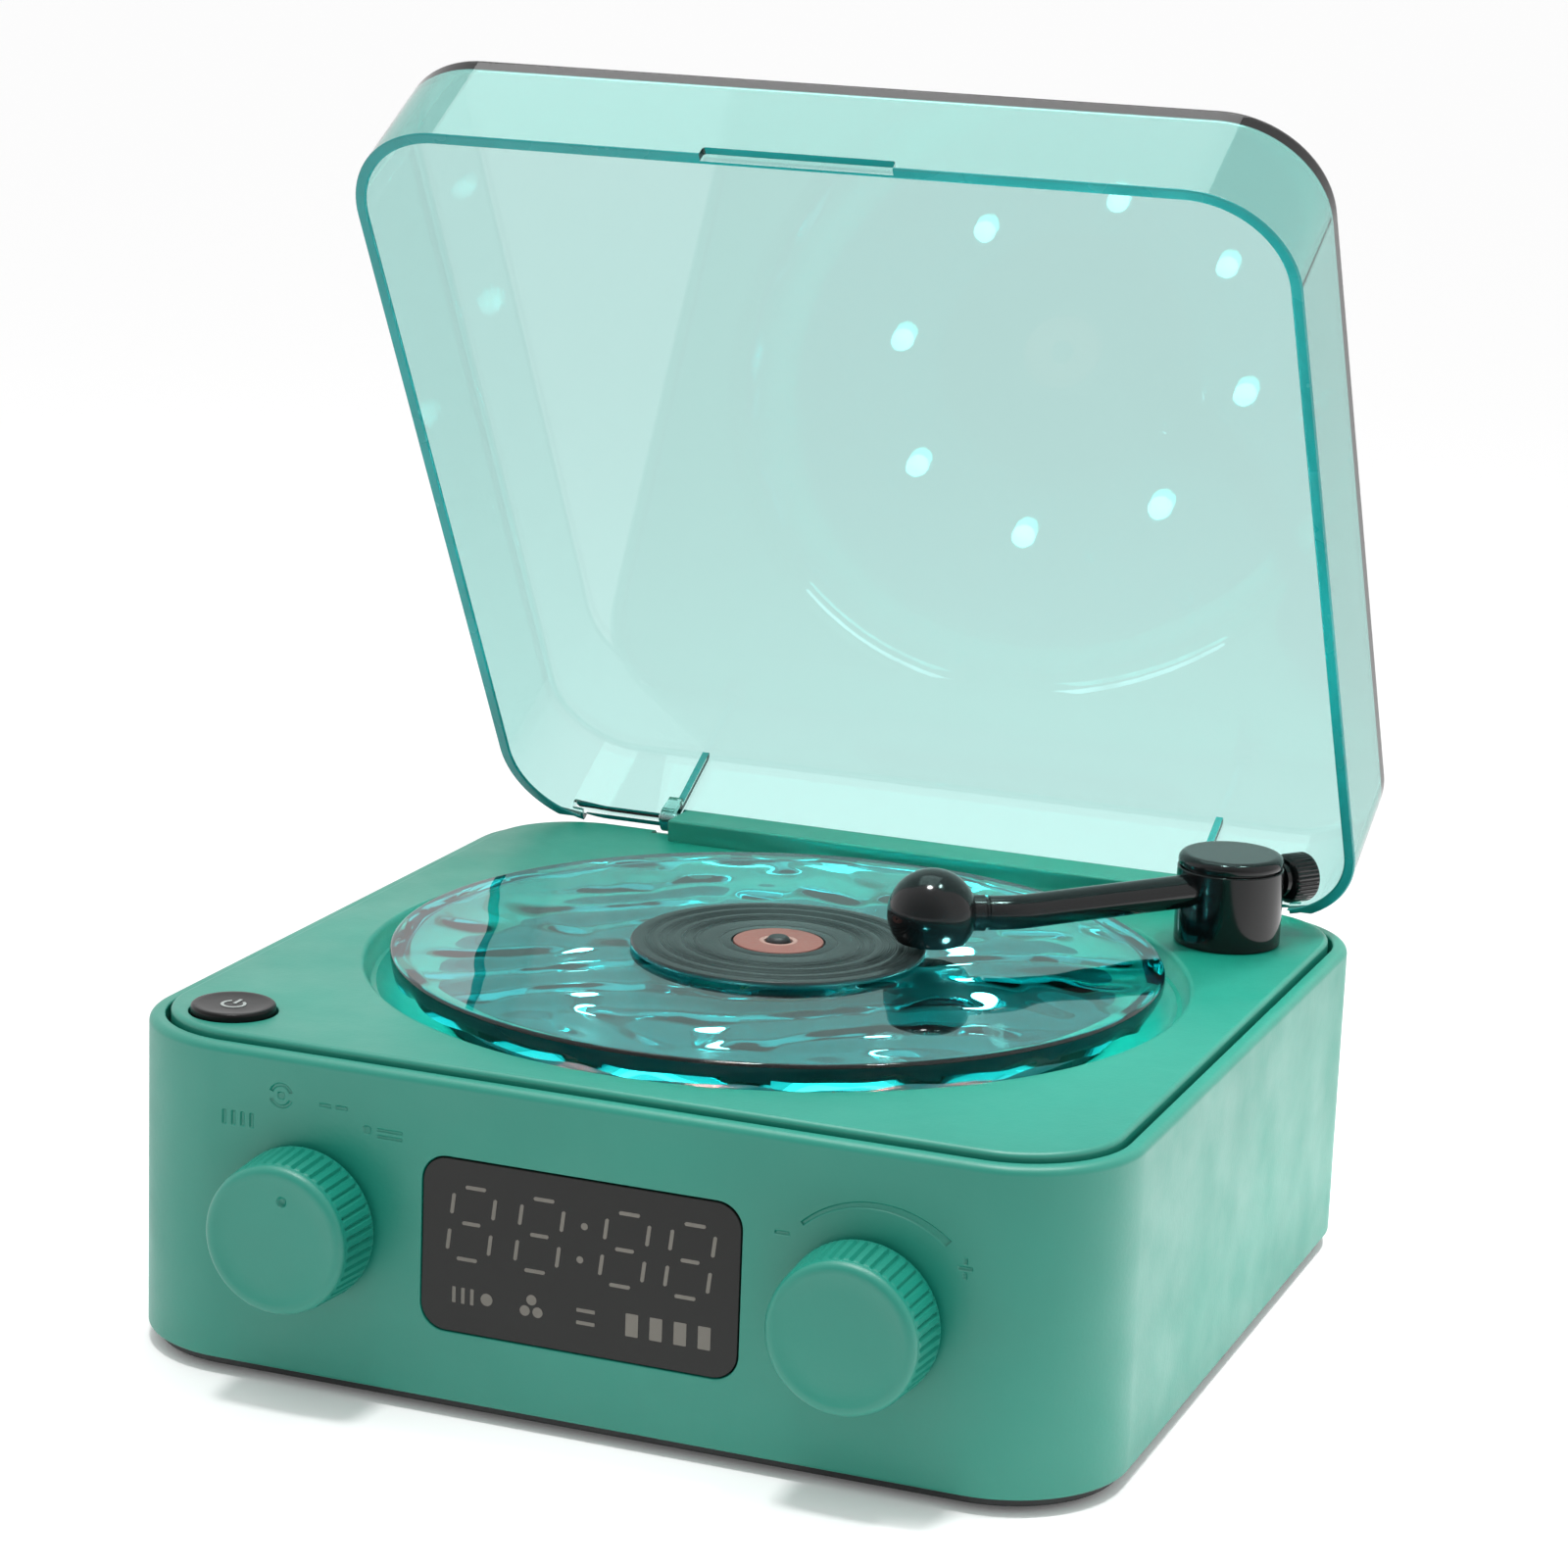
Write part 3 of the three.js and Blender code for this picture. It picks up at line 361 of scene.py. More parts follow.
GREEN = moulded("green_plastic", (0.004, 0.225, 0.162), 0.42, specular=0.7)
BLACK = moulded("black_plastic", (0.012, 0.012, 0.013), 0.5, grain=1800, depth=0.00003)
GLOSS_BLACK = moulded("gloss_black_plastic", (0.003, 0.003, 0.0033), 0.1, 0.04,
                      grain=250, depth=0.000004, specular=0.36)
KEY_BLACK = moulded("key_black_plastic", (0.004, 0.004, 0.0042), 0.3,
                    grain=900, depth=0.00001, specular=0.2)
WINDOW = moulded("window_black", (0.009, 0.009, 0.008), 0.22, 0.05,
                 grain=300, depth=0.000004, specular=0.34)
INK = moulded("segment_ink", (0.15, 0.14, 0.12), 0.4, 0.08, grain=2500, depth=0.000006, tint=0.12)
GLYPH = moulded("glyph_white", (0.3, 0.33, 0.32), 0.35, 0.08, grain=2500, depth=0.000006)
LID_CLEAR = clear_plastic("lid_clear_teal", (0.125, 0.643, 0.586), 410, 0.004, 12, 0.00001)
# Painted shade: opaque teal laid on the lid's clear rims, where light running along the wall makes it look
# dark.
LID_EDGE_PAINTED_SHADE = moulded("lid_edge_painted_shade", (0.01, 0.24, 0.235), 0.25, 0.08, grain=400, tint=0.25)
DISC_CLEAR = clear_plastic("ripple_acrylic", (0.01, 0.96, 0.968), 760, 0.015, 55, 0.0003)
# Painted shade: opaque dark teal for the clear disc's rim, where it looks dark seen edge-on.
DISC_EDGE_PAINTED_SHADE = moulded("disc_edge_painted_shade", (0.0005, 0.026, 0.034), 0.16, 0.05, grain=300, tint=0.3)
RUBBER = moulded("foot_rubber", (0.02, 0.02, 0.021), 0.8, 0.1, grain=2600, depth=0.00005)
NYLON = moulded("nylon", (0.75, 0.74, 0.68), 0.45, 0.08, grain=900)
BOARD = moulded("circuit_board", (0.01, 0.1, 0.045), 0.4, 0.1, grain=700, depth=0.00003, tint=0.3)
LIGHT_BOARD = moulded("light_board_green", (0.002, 0.04, 0.039), 0.5, 0.1,
                      grain=800, depth=0.00003, tint=0.15, specular=0.1)
STEEL = metal("steel", (0.6, 0.6, 0.61), 0.28, (1, 1, 12))
BRASS = metal("brass", (0.72, 0.5, 0.2), 0.3, (1, 1, 10))
FOIL = metal("battery_foil", (0.62, 0.64, 0.66), 0.4, scale=250)
MAGNET = metal("magnet_plating", (0.3, 0.3, 0.31), 0.45)
CONE = moulded("cone_paper", (0.03, 0.03, 0.032), 0.85, 0.08, grain=1600, depth=0.0001, tint=0.25)


# Emissive finish, for the real lamps and for the painted glow strip.
def lamp_and_painted_glow_material(name, colour, low, high):
    material, tree, shader = new_material(name)
    shader.inputs["Base Color"].default_value = (0.8, 0.9, 0.9, 1)
    shader.inputs["Emission Color"].default_value = (*colour, 1)
    tree.links.new(ranged(tree, noise(tree, 150), low, high), shader.inputs["Emission Strength"])
    tree.links.new(ranged(tree, noise(tree, 400), 0.2, 0.4), shader.inputs["Roughness"])
    return material


GROOVE_SCALE = 1150
VINYL_DARK = (0.008, 0.011, 0.011)
VINYL_LIGHT = (0.02, 0.026, 0.026)


def record_material():
    """Pressed vinyl: fine grooves, darker bands of louder sound and a brushed, turning sheen."""
    material, tree, shader = new_material("record_vinyl")
    distance = radial(tree, AXIS_Y)
    wave = tree.nodes.new("ShaderNodeMath")
    wave.operation = "MULTIPLY"
    wave.inputs[1].default_value = GROOVE_SCALE
    tree.links.new(distance, wave.inputs[0])
    bands = tree.nodes.new("ShaderNodeTexNoise")
    bands.noise_dimensions = "1D"
    bands.inputs["Scale"].default_value = 1
    bands.inputs["Detail"].default_value = 4
    tree.links.new(wave.outputs["Value"], bands.inputs["W"])
    shade = blend_colours(tree, ranged(tree, bands.outputs["Fac"], 0, 1), VINYL_DARK, VINYL_LIGHT)
    tree.links.new(shade, shader.inputs["Base Color"])
    tree.links.new(ranged(tree, bands.outputs["Fac"], 0.18, 0.3), shader.inputs["Roughness"])
    bump(tree, shader, bands.outputs["Fac"], 0.00002, 0.5)
    shader.inputs["Specular IOR Level"].default_value = 0.22
    shader.inputs["Anisotropic"].default_value = 0.8
    tangent = tree.nodes.new("ShaderNodeTangent")
    tangent.direction_type = "RADIAL"
    tangent.axis = "Z"
    tree.links.new(tangent.outputs["Tangent"], shader.inputs["Tangent"])
    return material


LABEL_RED = ((0.2, 0.066, 0.053), (0.25, 0.086, 0.07))
LABEL_PALE = (0.34, 0.18, 0.155, 1)
PALE_RING_IN = 2.6
PALE_RING_OUT = 2.75


def label_material():
    """Printed paper label with a pale ring round the hole."""
    material, tree, shader = new_material("label_paper")
    ring = ranged(tree, radial(tree, AXIS_Y), 0, 1, PALE_RING_IN * MM, PALE_RING_OUT * MM)
    paper = ranged(tree, noise(tree, 1200, 4), 0, 1)
    pale = tree.nodes.new("ShaderNodeMix")
    pale.data_type = "RGBA"
    pale.inputs[BLEND_FIRST].default_value = LABEL_PALE
    tree.links.new(blend_colours(tree, paper, *LABEL_RED), pale.inputs[BLEND_SECOND])
    tree.links.new(ring, pale.inputs["Factor"])
    tree.links.new(pale.outputs[BLEND_RESULT], shader.inputs["Base Color"])
    tree.links.new(ranged(tree, paper, 0.5, 0.7, 0, 1), shader.inputs["Roughness"])
    bump(tree, shader, paper, 0.00002, 0.6)
    return material


LAMP = lamp_and_painted_glow_material("lamp_glow", (1.0, 0.4, 0.4), 700, 960)
# Painted glow for the strip on the well's rear wall, which is no lamp.
PAINTED_EDGE_GLOW = lamp_and_painted_glow_material("painted_edge_glow", (0.5, 0.95, 1.0), 2.0, 6.0)
VINYL = record_material()
LABEL = label_material()


# ---------------- cabinet shell
KNOB_LOW, KNOB_HIGH = box_mm("volume_knob")
KNOB_X = (KNOB_LOW.x + KNOB_HIGH.x) / 2
KNOB_Z = (KNOB_LOW.z + KNOB_HIGH.z) / 2
WINDOW_LOW, WINDOW_HIGH = box_mm("display_window")
WINDOW_W = WINDOW_HIGH.x - WINDOW_LOW.x
WINDOW_H = WINDOW_HIGH.z - WINDOW_LOW.z
WINDOW_Z = (WINDOW_LOW.z + WINDOW_HIGH.z) / 2
WINDOW_CORNER = 3.5
GRILLE_LOW, GRILLE_HIGH = box_mm("rear_grille")
GRILLE_W = GRILLE_HIGH.x - GRILLE_LOW.x
GRILLE_H = GRILLE_HIGH.z - GRILLE_LOW.z
GRILLE_Z = (GRILLE_LOW.z + GRILLE_HIGH.z) / 2
MARK_DEPTH = 0.2
MARK_SLOPE = 0.1
BARS_SIGN = (-51.6, 34.2)
LOOP_SIGN = (-43.2, 38.3)
DASHES_SIGN = (-36.7, 37.9)
DOT_SIGN = (-30.6, 35.5)
LINES_SIGN = (-27.3, 35.3)
MINUS_SIGN = (27.9, 30.9)
PLUS_SIGN = (52.4, 30.2)
WEDGE_SOFT = 129
WEDGE_LOUD = 47
WEDGE_R = 14.1


def outline_at(width, height, corner, x, z, grow=0.0):
    pairs = rounded_rectangle(width + 2 * grow, height + 2 * grow, corner + grow, 10)
    return [(x + u, z + v) for u, v in pairs]


def front_opening(outline_of):
    """Opening through the front wall with a softened mouth; outline_of(grow) gives its outline."""
    steps = [(-1.0, 0.9), (0, 0.34), (0.12, 0.12), (0.36, 0), (WALL + 1, 0)]
    return skin([[(u, FRONT + y, v) for u, v in outline_of(grow)] for y, grow in steps])


def rear_opening(outline_of):
    steps = [(1.0, 0.9), (0, 0.3), (-0.12, 0.1), (-0.34, 0), (-WALL - 1, 0)]
    return skin([[(u, REAR + y, v) for u, v in outline_of(grow)] for y, grow in steps])


def mark(outline_of):
    """Engraved sign with sloping sides; outline_of(grow) gives its outline."""
    steps = [(-1, MARK_SLOPE), (0, MARK_SLOPE), (MARK_DEPTH, -MARK_SLOPE)]
    return skin([[(u, FRONT + y, v) for u, v in outline_of(grow)] for y, grow in steps])


def bar_mark(x, z, width, height):
    return mark(lambda g: outline_at(width, height, min(width, height) * 0.35, x, z, g))


def arc_mark(x, z, radius, thick, start, end):
    return mark(lambda g: arc(x, z, radius + thick / 2 + g, start, end, 16)
                + arc(x, z, radius - thick / 2 - g, end, start, 16))


def wedge_outline(grow):
    """Band round the volume knob that widens from its soft end to its loud end."""
    steps = 36
    outer, inner = [], []
    for i in range(steps + 1):
        share = i / steps
        angle = radians(WEDGE_SOFT + (WEDGE_LOUD - WEDGE_SOFT) * share)
        centre = WEDGE_R + 1.5 * share
        half = 0.24 + 0.3 * share + grow
        outer.append((KNOB_X + (centre + half) * cos(angle), KNOB_Z + (centre + half) * sin(angle)))
        inner.append((KNOB_X + (centre - half) * cos(angle), KNOB_Z + (centre - half) * sin(angle)))
    return outer + inner[::-1]


def front_marks():
    """Generic signs round the two knobs: four for the modes, and a wedge from soft to loud."""
    x, z = BARS_SIGN
    marks = [bar_mark(x + 1.35 * i, z, 0.5, 2.0) for i in range(4)]
    marks += [bar_mark(*LOOP_SIGN, 1.0, 1.0)]
    marks += [arc_mark(*LOOP_SIGN, 1.5, 0.45, start, start + 140) for start in (20, 200)]
    x, z = DASHES_SIGN
    marks += [bar_mark(x + 2.4 * i, z, 1.7, 0.5) for i in range(2)]
    marks += [bar_mark(*DOT_SIGN, 1.1, 1.1)]
    x, z = LINES_SIGN
    marks += [bar_mark(x, z + 0.9 * i, 3.6, 0.42) for i in (-0.5, 0.5)]
    marks += [mark(wedge_outline), bar_mark(*MINUS_SIGN, 1.9, 0.45), bar_mark(*PLUS_SIGN, 1.9, 0.45)]
    x, z = PLUS_SIGN
    marks += [bar_mark(x, z + 0.95 * side, 0.45, 0.8) for side in (-1, 1)]
    return marks


def cabinet_ring(inset, z, steps):
    """The cabinet's outline, inset, at a height."""
    outline = rounded_rectangle(WIDTH - 2 * inset, DEPTH - 2 * inset, CORNER - inset, steps)
    return [(u, v, z) for u, v in outline]


def round_hole(x, z, radius):
    return facing_front(arc(x, z, radius, 0, 360 - 360 / 40, 39), FRONT - 1, FRONT + WALL + 1)


def make_shell():
    rim = 1.15
    profile = arc(0.5, 0.5, 0.5, 270, 180, 4)
    profile += arc(rim, HEIGHT - rim, rim, 180, 90, 8)
    profile += arc(WALL - 0.3, HEIGHT - 0.3, 0.3, 90, 0, 4)
    profile += arc(WALL - 0.3, 0.3, 0.3, 0, -90, 3)
    rings = [cabinet_ring(inset, z, 26) for inset, z in profile]
    shell = raw_object("cabinet_shell", *skin(rings, closed=True))
    usb, card = centre_mm("usb_port"), centre_mm("card_slot")
    openings = [
        front_opening(lambda g: outline_at(WINDOW_W + 0.2, WINDOW_H + 0.2, WINDOW_CORNER, 0, WINDOW_Z, g)),
        round_hole(-KNOB_X, KNOB_Z, SHAFT_HOLE_R),
        round_hole(KNOB_X, KNOB_Z, SHAFT_HOLE_R),
        rear_opening(lambda g: outline_at(GRILLE_W + 0.5, GRILLE_H + 0.5, 4.2, 0, GRILLE_Z, g)),
        rear_opening(lambda g: outline_at(9.5, 3.9, 1.9, usb.x, usb.z, g)),
        rear_opening(lambda g: outline_at(12.7, 2.5, 0.6, card.x, card.z, g)),
    ]
    for opening in openings:
        carve(shell, [opening])
    carve(shell, front_marks())
    piece(shell, GREEN, "cabinet", ["body_shell"])


# ---------------- deck with the turntable well
DECK_STEPS = 360
WELL_FILLET = 7
WELL_SKIN = 1.8
HUB_HOLE_R = 4.3
KEY_HOLE_R = 6
EAR_NOTCH_X = 43.6
EAR_NOTCH_Y = 61.65


def distance_to_outline(x, y, inset):
    """Signed distance to the cabinet's outline inset by a distance."""
    corner = CORNER - inset
    dx = abs(x) - (WIDTH / 2 - inset - corner)
    dy = abs(y) - (DEPTH / 2 - inset - corner)
    return hypot(max(dx, 0), max(dy, 0)) + min(max(dx, dy), 0) - corner


def outline_ring(inset, z):
    """The cabinet's inset outline, as seen from the turntable's axis in equal steps of angle."""
    ring = []
    for i in range(DECK_STEPS):
        angle = 2 * pi * i / DECK_STEPS
        near, far = 0.0, 120.0
        for _ in range(40):
            middle = (near + far) / 2
            inside = distance_to_outline(middle * cos(angle), AXIS_Y + middle * sin(angle), inset) < 0
            near, far = (middle, far) if inside else (near, middle)
        ring.append((near * cos(angle), AXIS_Y + near * sin(angle), z))
    return ring


def make_deck():
    bottom = DECK_TOP - DECK_THICK
    edge = 0.75
    outer = [(DECK_INSET, bottom)]
    outer += [(inset, z) for inset, z in arc(DECK_INSET + edge, DECK_TOP - edge, edge, 180, 90, 6)]
    rings = [outline_ring(inset, z) for inset, z in outer]
    lip = 0.9
    well = arc(WELL_R + lip, DECK_TOP - lip, lip, 90, 180, 7)
    well += [(WELL_R - 0.3, WELL_FLOOR + 4.6), (WELL_R - 0.8, WELL_FLOOR + 3.6)]
    well += arc(WELL_R - 7.7, WELL_FLOOR + WELL_FILLET, WELL_FILLET, -28, -90, 8)
    well += [(HUB_HOLE_R, WELL_FLOOR), (HUB_HOLE_R, WELL_FLOOR - WELL_SKIN)]
    well += [(WELL_R - 7.6, WELL_FLOOR - WELL_SKIN), (WELL_R - 2.2, WELL_FLOOR)]
    well += [(WELL_R + 1, WELL_FLOOR + 3.2), (WELL_R + 1.8, bottom)]
    rings += turned_rings(well, DECK_STEPS, 0, AXIS_Y)
    deck = raw_object("deck_panel", *skin(rings, closed=True))
    key = centre_mm("power_key")
    mouth = [(0, -4.3), (0, -0.3), (0.1, -0.1), (0.3, 0), (0.9, 1)]
    hole = [(KEY_HOLE_R + wider, DECK_TOP + up) for wider, up in mouth]
    cuts = [skin(turned_rings(hole, 64, key.x, key.y))]
    for x in (-EAR_NOTCH_X, EAR_NOTCH_X):
        cuts.append(block(x - 1.9, x + 1.9, EAR_NOTCH_Y, REAR, DECK_TOP - 0.9, DECK_TOP + 1))
    carve(deck, cuts)
    piece(deck, GREEN, "cabinet", ["top_deck"])


# ---------------- hinge bar
def make_hinge_bar():
    low, high = box_mm("hinge_bar")
    half, front, back, top = high.x, low.y, high.y, high.z
    seat = DECK_TOP + 0.02
    corners = arc(back - 0.9, seat + 0.9, 0.9, -90, 0, 4) + arc(back - 1.0, top - 1.0, 1.0, 0, 90, 6)
    corners += arc(front + 0.45, top - 0.45, 0.45, 90, 180, 5) + [(front, seat)]
    centre_y, centre_z = (front + back) / 2, (seat + top) / 2
    ends = [(0, 0.35), (0.12, 0.12), (0.35, 0)]
    stations = [(inward - half, shrink) for inward, shrink in ends]
    stations += [(half - inward, shrink) for inward, shrink in reversed(ends)]
    rings = []
    for x, shrink in stations:
        across = 1 - 2 * shrink / (back - front)
        tall = 1 - 2 * shrink / (top - seat)
        rings.append([
            (x, centre_y + (y - centre_y) * across, centre_z + (z - centre_z) * tall) for y, z in corners
        ])
    bar = raw_object("hinge_rail", *skin(rings))
    piece(bar, GREEN, "cabinet", ["hinge_bar"])


# ---------------- lid
LID_WIDTH = 138.6
LID_DEPTH = 133
LID_Y = -0.12
LID_BACK = LID_Y + LID_DEPTH / 2
LID_RIM = 44.31
LID_HEIGHT = 19.3
LID_WALL = 1.7
LID_CORNER = 15.1
EAR_IN = 42.2
EAR_OUT = 44.4
EAR_R = 2.1
EAR_RISE = 3.2
FUSE = 0.4               # how deep the ears and webs go into the wall
WEB_THICK = 1.1
WEB_TOP = LID_RIM + LID_HEIGHT - 1
WEB_REACH = 0.9
PIN_HOLE_R = 0.95
CORNER_RIM = HEIGHT + 1.4
# Half width, front and top of the cuts that raise the rear rim: corners, middle and hinge bar.
REAR_CUTS = [(80, 64.2, CORNER_RIM), (58, 62, 46.8), (42, 62, 49.4)]
CUT_BACK = 80
CUT_BOTTOM = 40
NOTCH_WIDTH = 28
NOTCH_HEIGHT = 3.4
NOTCH_DEPTH = 1.1
# Heights above the rim up to which the lid's faces take the painted edge shade.
EDGE_BAND = 0.32
CUT_BAND = 5.5


def lid_joint():
    joint = next(j for j in frame["joints"] if j["name"] == "lid_hinge")
    hinge = centre_mm("hinge_pin_left")
    return hinge.y, hinge.z, radians(-joint["range_deg"][0])


def lid_ring(inset, z):
    outline = rounded_rectangle(LID_WIDTH - 2 * inset, LID_DEPTH - 2 * inset, LID_CORNER - inset, 24)
    return [(u, LID_Y + v, z) for u, v in outline]


def make_lid():
    hinge_y, hinge_z, opening = lid_joint()
    top = LID_RIM + LID_HEIGHT
    outer_r, inner_r = 1.5, 0.9
    outside = arc(outer_r, top - outer_r, outer_r, 90, 180, 8) + arc(0.3, LID_RIM + 0.3, 0.3, 180, 270, 4)
    inside = arc(LID_WALL - 0.3, LID_RIM + 0.3, 0.3, 270, 360, 4)
    inside += arc(LID_WALL + inner_r, top - LID_WALL - inner_r, inner_r, 180, 90, 6)
    lid = raw_object("clear_lid", *skin([lid_ring(inset, z) for inset, z in outside + inside]))
    for half, front, cut_top in REAR_CUTS:
        carve(lid, [block(-half, half, front, CUT_BACK, CUT_BOTTOM, cut_top)])
    front = LID_Y - LID_DEPTH / 2
    notch = outline_at(NOTCH_WIDTH, NOTCH_HEIGHT, 0.5, 0, LID_RIM)
    carve(lid, [facing_front(notch, front - 1, front + NOTCH_DEPTH)])
    add_ears(lid, hinge_y, hinge_z)
    colour_lid(lid, hinge_z)
    hinge = ORIGIN + Vector((0, hinge_y, hinge_z)) * MM
    turn = Matrix.Translation(hinge) @ Matrix.Rotation(-opening, 4, "X") @ Matrix.Translation(-hinge)
    lid.data.transform(turn)
    piece(lid, None, "lid", ["lid"])


def add_ears(lid, hinge_y, hinge_z):
    """Knuckles round the pins, with a thin web from each up the rear wall."""
    inside_wall = LID_BACK - FUSE
    knuckle = arc(hinge_y, hinge_z, EAR_R, 180, 360, 20)
    knuckle += [(inside_wall, hinge_z), (inside_wall, hinge_z + EAR_RISE)]
    knuckle += [(hinge_y - EAR_R + 0.5, hinge_z + EAR_RISE)]
    for side in (-1, 1):
        ear_x = sorted((side * EAR_IN, side * EAR_OUT))
        web_x = sorted((side * EAR_IN, side * (EAR_IN + WEB_THICK)))
        carve(lid, [facing_side(knuckle, *ear_x)], "UNION")
        web_front = LID_BACK - LID_WALL - WEB_REACH
        carve(lid, [block(*web_x, web_front, inside_wall, hinge_z + 2.5, WEB_TOP)], "UNION")
    carve(lid, [facing_side(arc(hinge_y, hinge_z, PIN_HOLE_R, 0, 345, 23), -60, 60)])


def colour_lid(lid, hinge_z):
    """Painted shade: opaque teal on the rims and on the webs' edges, standing in for the clear moulding
    where it looks darkest.
    """
    lid.data.materials.clear()
    lid.data.materials.append(LID_CLEAR)
    lid.data.materials.append(LID_EDGE_PAINTED_SHADE)
    band_top, cuts_top = (ORIGIN.z + (LID_RIM + z) * MM for z in (EDGE_BAND, CUT_BAND))
    for face in lid.data.polygons:
        highest = max(lid.data.vertices[i].co.z for i in face.vertices)
        rim = highest < band_top or (face.normal.z < -0.9 and highest < cuts_top)
        place = (face.center - ORIGIN) / MM
        above_ear = place.z > hinge_z + EAR_RISE and EAR_IN < abs(place.x) < EAR_OUT
        web_edge = above_ear and face.normal.y < -0.9 and place.y < LID_BACK - LID_WALL - 0.1
        face.material_index = int(rim or web_edge)


# ---------------- rippled disc
RIPPLE_SIDES = 420
RIPPLE_RINGS = 74
RIPPLE_HEIGHT = 0.22
RIPPLE_LIFT = 0.95
FADE_IN = 8
FADE_OUT = 9
# How far in, and between which depths below the top, the disc's rim is painted with dark teal shade.
RIM_REACH = 1.6
RIM_DEPTHS = (2.6, 0.5)


def ripple(x, y):
    """Height of the cast ripples at a point, roughly from -1 to 1."""
    swell = sin(0.30 * x + 1.3 * sin(0.16 * y + 1.0)) * cos(0.34 * y + 1.4 * sin(0.13 * x + 0.6))
    chop = sin(0.46 * y - 0.29 * x + 1.7 * sin(0.15 * x + 0.4)) * 0.45
    fine = sin(0.62 * x + 0.44 * y + 1.2 * sin(0.27 * y)) * 0.2
    return (swell + chop + fine) / 1.5


def edge_wave(angle):
    """Uneven scallops round the disc's edge, from -1 to 1."""
    return (sin(17 * angle + 1.3 * sin(3 * angle)) + 0.35 * sin(31 * angle + 2 * sin(2 * angle + 1))) / 1.35


def make_disc():
    top = DISC_TOP
    turns = [2 * pi * i / RIPPLE_SIDES for i in range(RIPPLE_SIDES)]
    flat = [(r, top) for r in (DISC_HOLE, 10, 20, 30, 40, 50)]
    shoulder = arc(DISC_R - 0.55, top - 0.55, 0.55, 90, 0, 6)
    rings = turned_rings(flat + shoulder, RIPPLE_SIDES, 0, AXIS_Y)
    for share in (0.3, 0.6, 0.85, 1.0):
        ring = []
        for a in turns:
            r = DISC_R - share * share * (0.8 + 0.5 * edge_wave(a))
            z = top - 0.6 - share * (3.0 + 0.5 * edge_wave(a + 0.05))
            ring.append((r * cos(a), AXIS_Y + r * sin(a), z))
        rings.append(ring)
    inner_edge = DISC_R - 2.4
    for i in range(RIPPLE_RINGS):
        r = inner_edge + (DISC_HOLE - inner_edge) * i / (RIPPLE_RINGS - 1)
        height = RIPPLE_HEIGHT * min(1, (r - DISC_HOLE) / FADE_IN) * min(1, (DISC_R + 1 - r) / FADE_OUT)
        ring = []
        for a in turns:
            x, y = r * cos(a), r * sin(a)
            ring.append((x, AXIS_Y + y, DISC_LOW.z + RIPPLE_LIFT + height * ripple(x, y)))
        rings.append(ring)
    disc = raw_object("rippled_disc", *skin(rings, closed=True))
    disc.data.materials.append(DISC_CLEAR)
    disc.data.materials.append(DISC_EDGE_PAINTED_SHADE)
    # Painted shade: faces of the rim band take the opaque dark teal.
    axis = ORIGIN + Vector((0, AXIS_Y, 0)) * MM
    band_low, band_high = (ORIGIN.z + (top - depth) * MM for depth in RIM_DEPTHS)
    for face in disc.data.polygons:
        outer = (face.center - axis).to_2d().length > (DISC_R - RIM_REACH) * MM
        face.material_index = int(outer and band_low < face.center.z < band_high)
    piece(disc, None, "turntable", ["ripple_disc"], smooth=60)


# ---------------- record, label and spindle
RECORD_HOLE = 2.2
GROOVE_PITCH = 0.34
GROOVE_FLANK = 0.16
GROOVES_END = 11.9
SILENT_BANDS = (17.6, 14.6)
SILENT_HALF = 0.35
RUN_OUTS = [(11.5, 11.3, 11.0, 0.08), (8.4, 8.2, 8.0, 0.07)]
HUB_R = 9


def make_record():
    edge, bottom, top = RECORD_R, RECORD_LOW, RECORD_TOP
    profile = [(RECORD_HOLE, bottom), (edge - 0.3, bottom)]
    profile += arc(edge - 0.3, bottom + 0.5, 0.5, -60, 60, 6)
    profile += [(edge - 0.9, top), (edge - 1.1, top - 0.06)]
    r = edge - 1.4
    while r > GROOVES_END:
        silent = any(abs(r - gap) < SILENT_HALF for gap in SILENT_BANDS)
        dip = 0.02 if silent else 0.09
        profile += [(r, top - 0.02), (r - GROOVE_FLANK, top - dip)]
        r -= GROOVE_PITCH
    for outer, middle, inner, dip in RUN_OUTS:
        profile += [(outer, top), (middle, top - dip), (inner, top)]
    profile += [(LABEL_R + 0.3, top), (LABEL_R + 0.2, top - 0.45), (RECORD_HOLE, top - 0.45)]
    record = turned("small_record", profile, 200, 0, AXIS_Y, closed=True)
    piece(record, VINYL, "turntable", ["mini_record"])


def make_label():
    low, high = (corner.z for corner in box_mm("record_label"))
    paper = [(2.0, low), (LABEL_R, low)] + arc(LABEL_R - 0.15, high - 0.15, 0.15, 0, 90, 4)
    paper += [(3.1, high), (3.0, high - 0.04), (2.7, high - 0.04), (2.6, high)]
    paper += arc(2.15, high - 0.15, 0.15, 90, 180, 3)
    label = turned("centre_label", paper, 120, 0, AXIS_Y, closed=True)
    piece(label, LABEL, "turntable", ["record_label"])


def make_spindle():
    low, high = box_mm("spindle")
    hub = DISC_LOW.z - 0.3
    profile = [(0.6, low.z), (1.5, low.z + 0.4), (1.5, hub - 2.2), (HUB_R - 0.3, hub - 2.2)]
    profile += [(HUB_R, hub - 1.9), (HUB_R, hub - 0.3), (HUB_R - 0.3, hub)]
    profile += [(SPINDLE_R, hub), (SPINDLE_R, high.z - 0.9)]
    profile += arc(SPINDLE_R - 0.85, high.z - 0.85, 0.85, 0, 80, 6)
    spindle = turned("centre_spindle", profile, 64, 0, AXIS_Y)
    piece(spindle, BLACK, "turntable", ["spindle"])


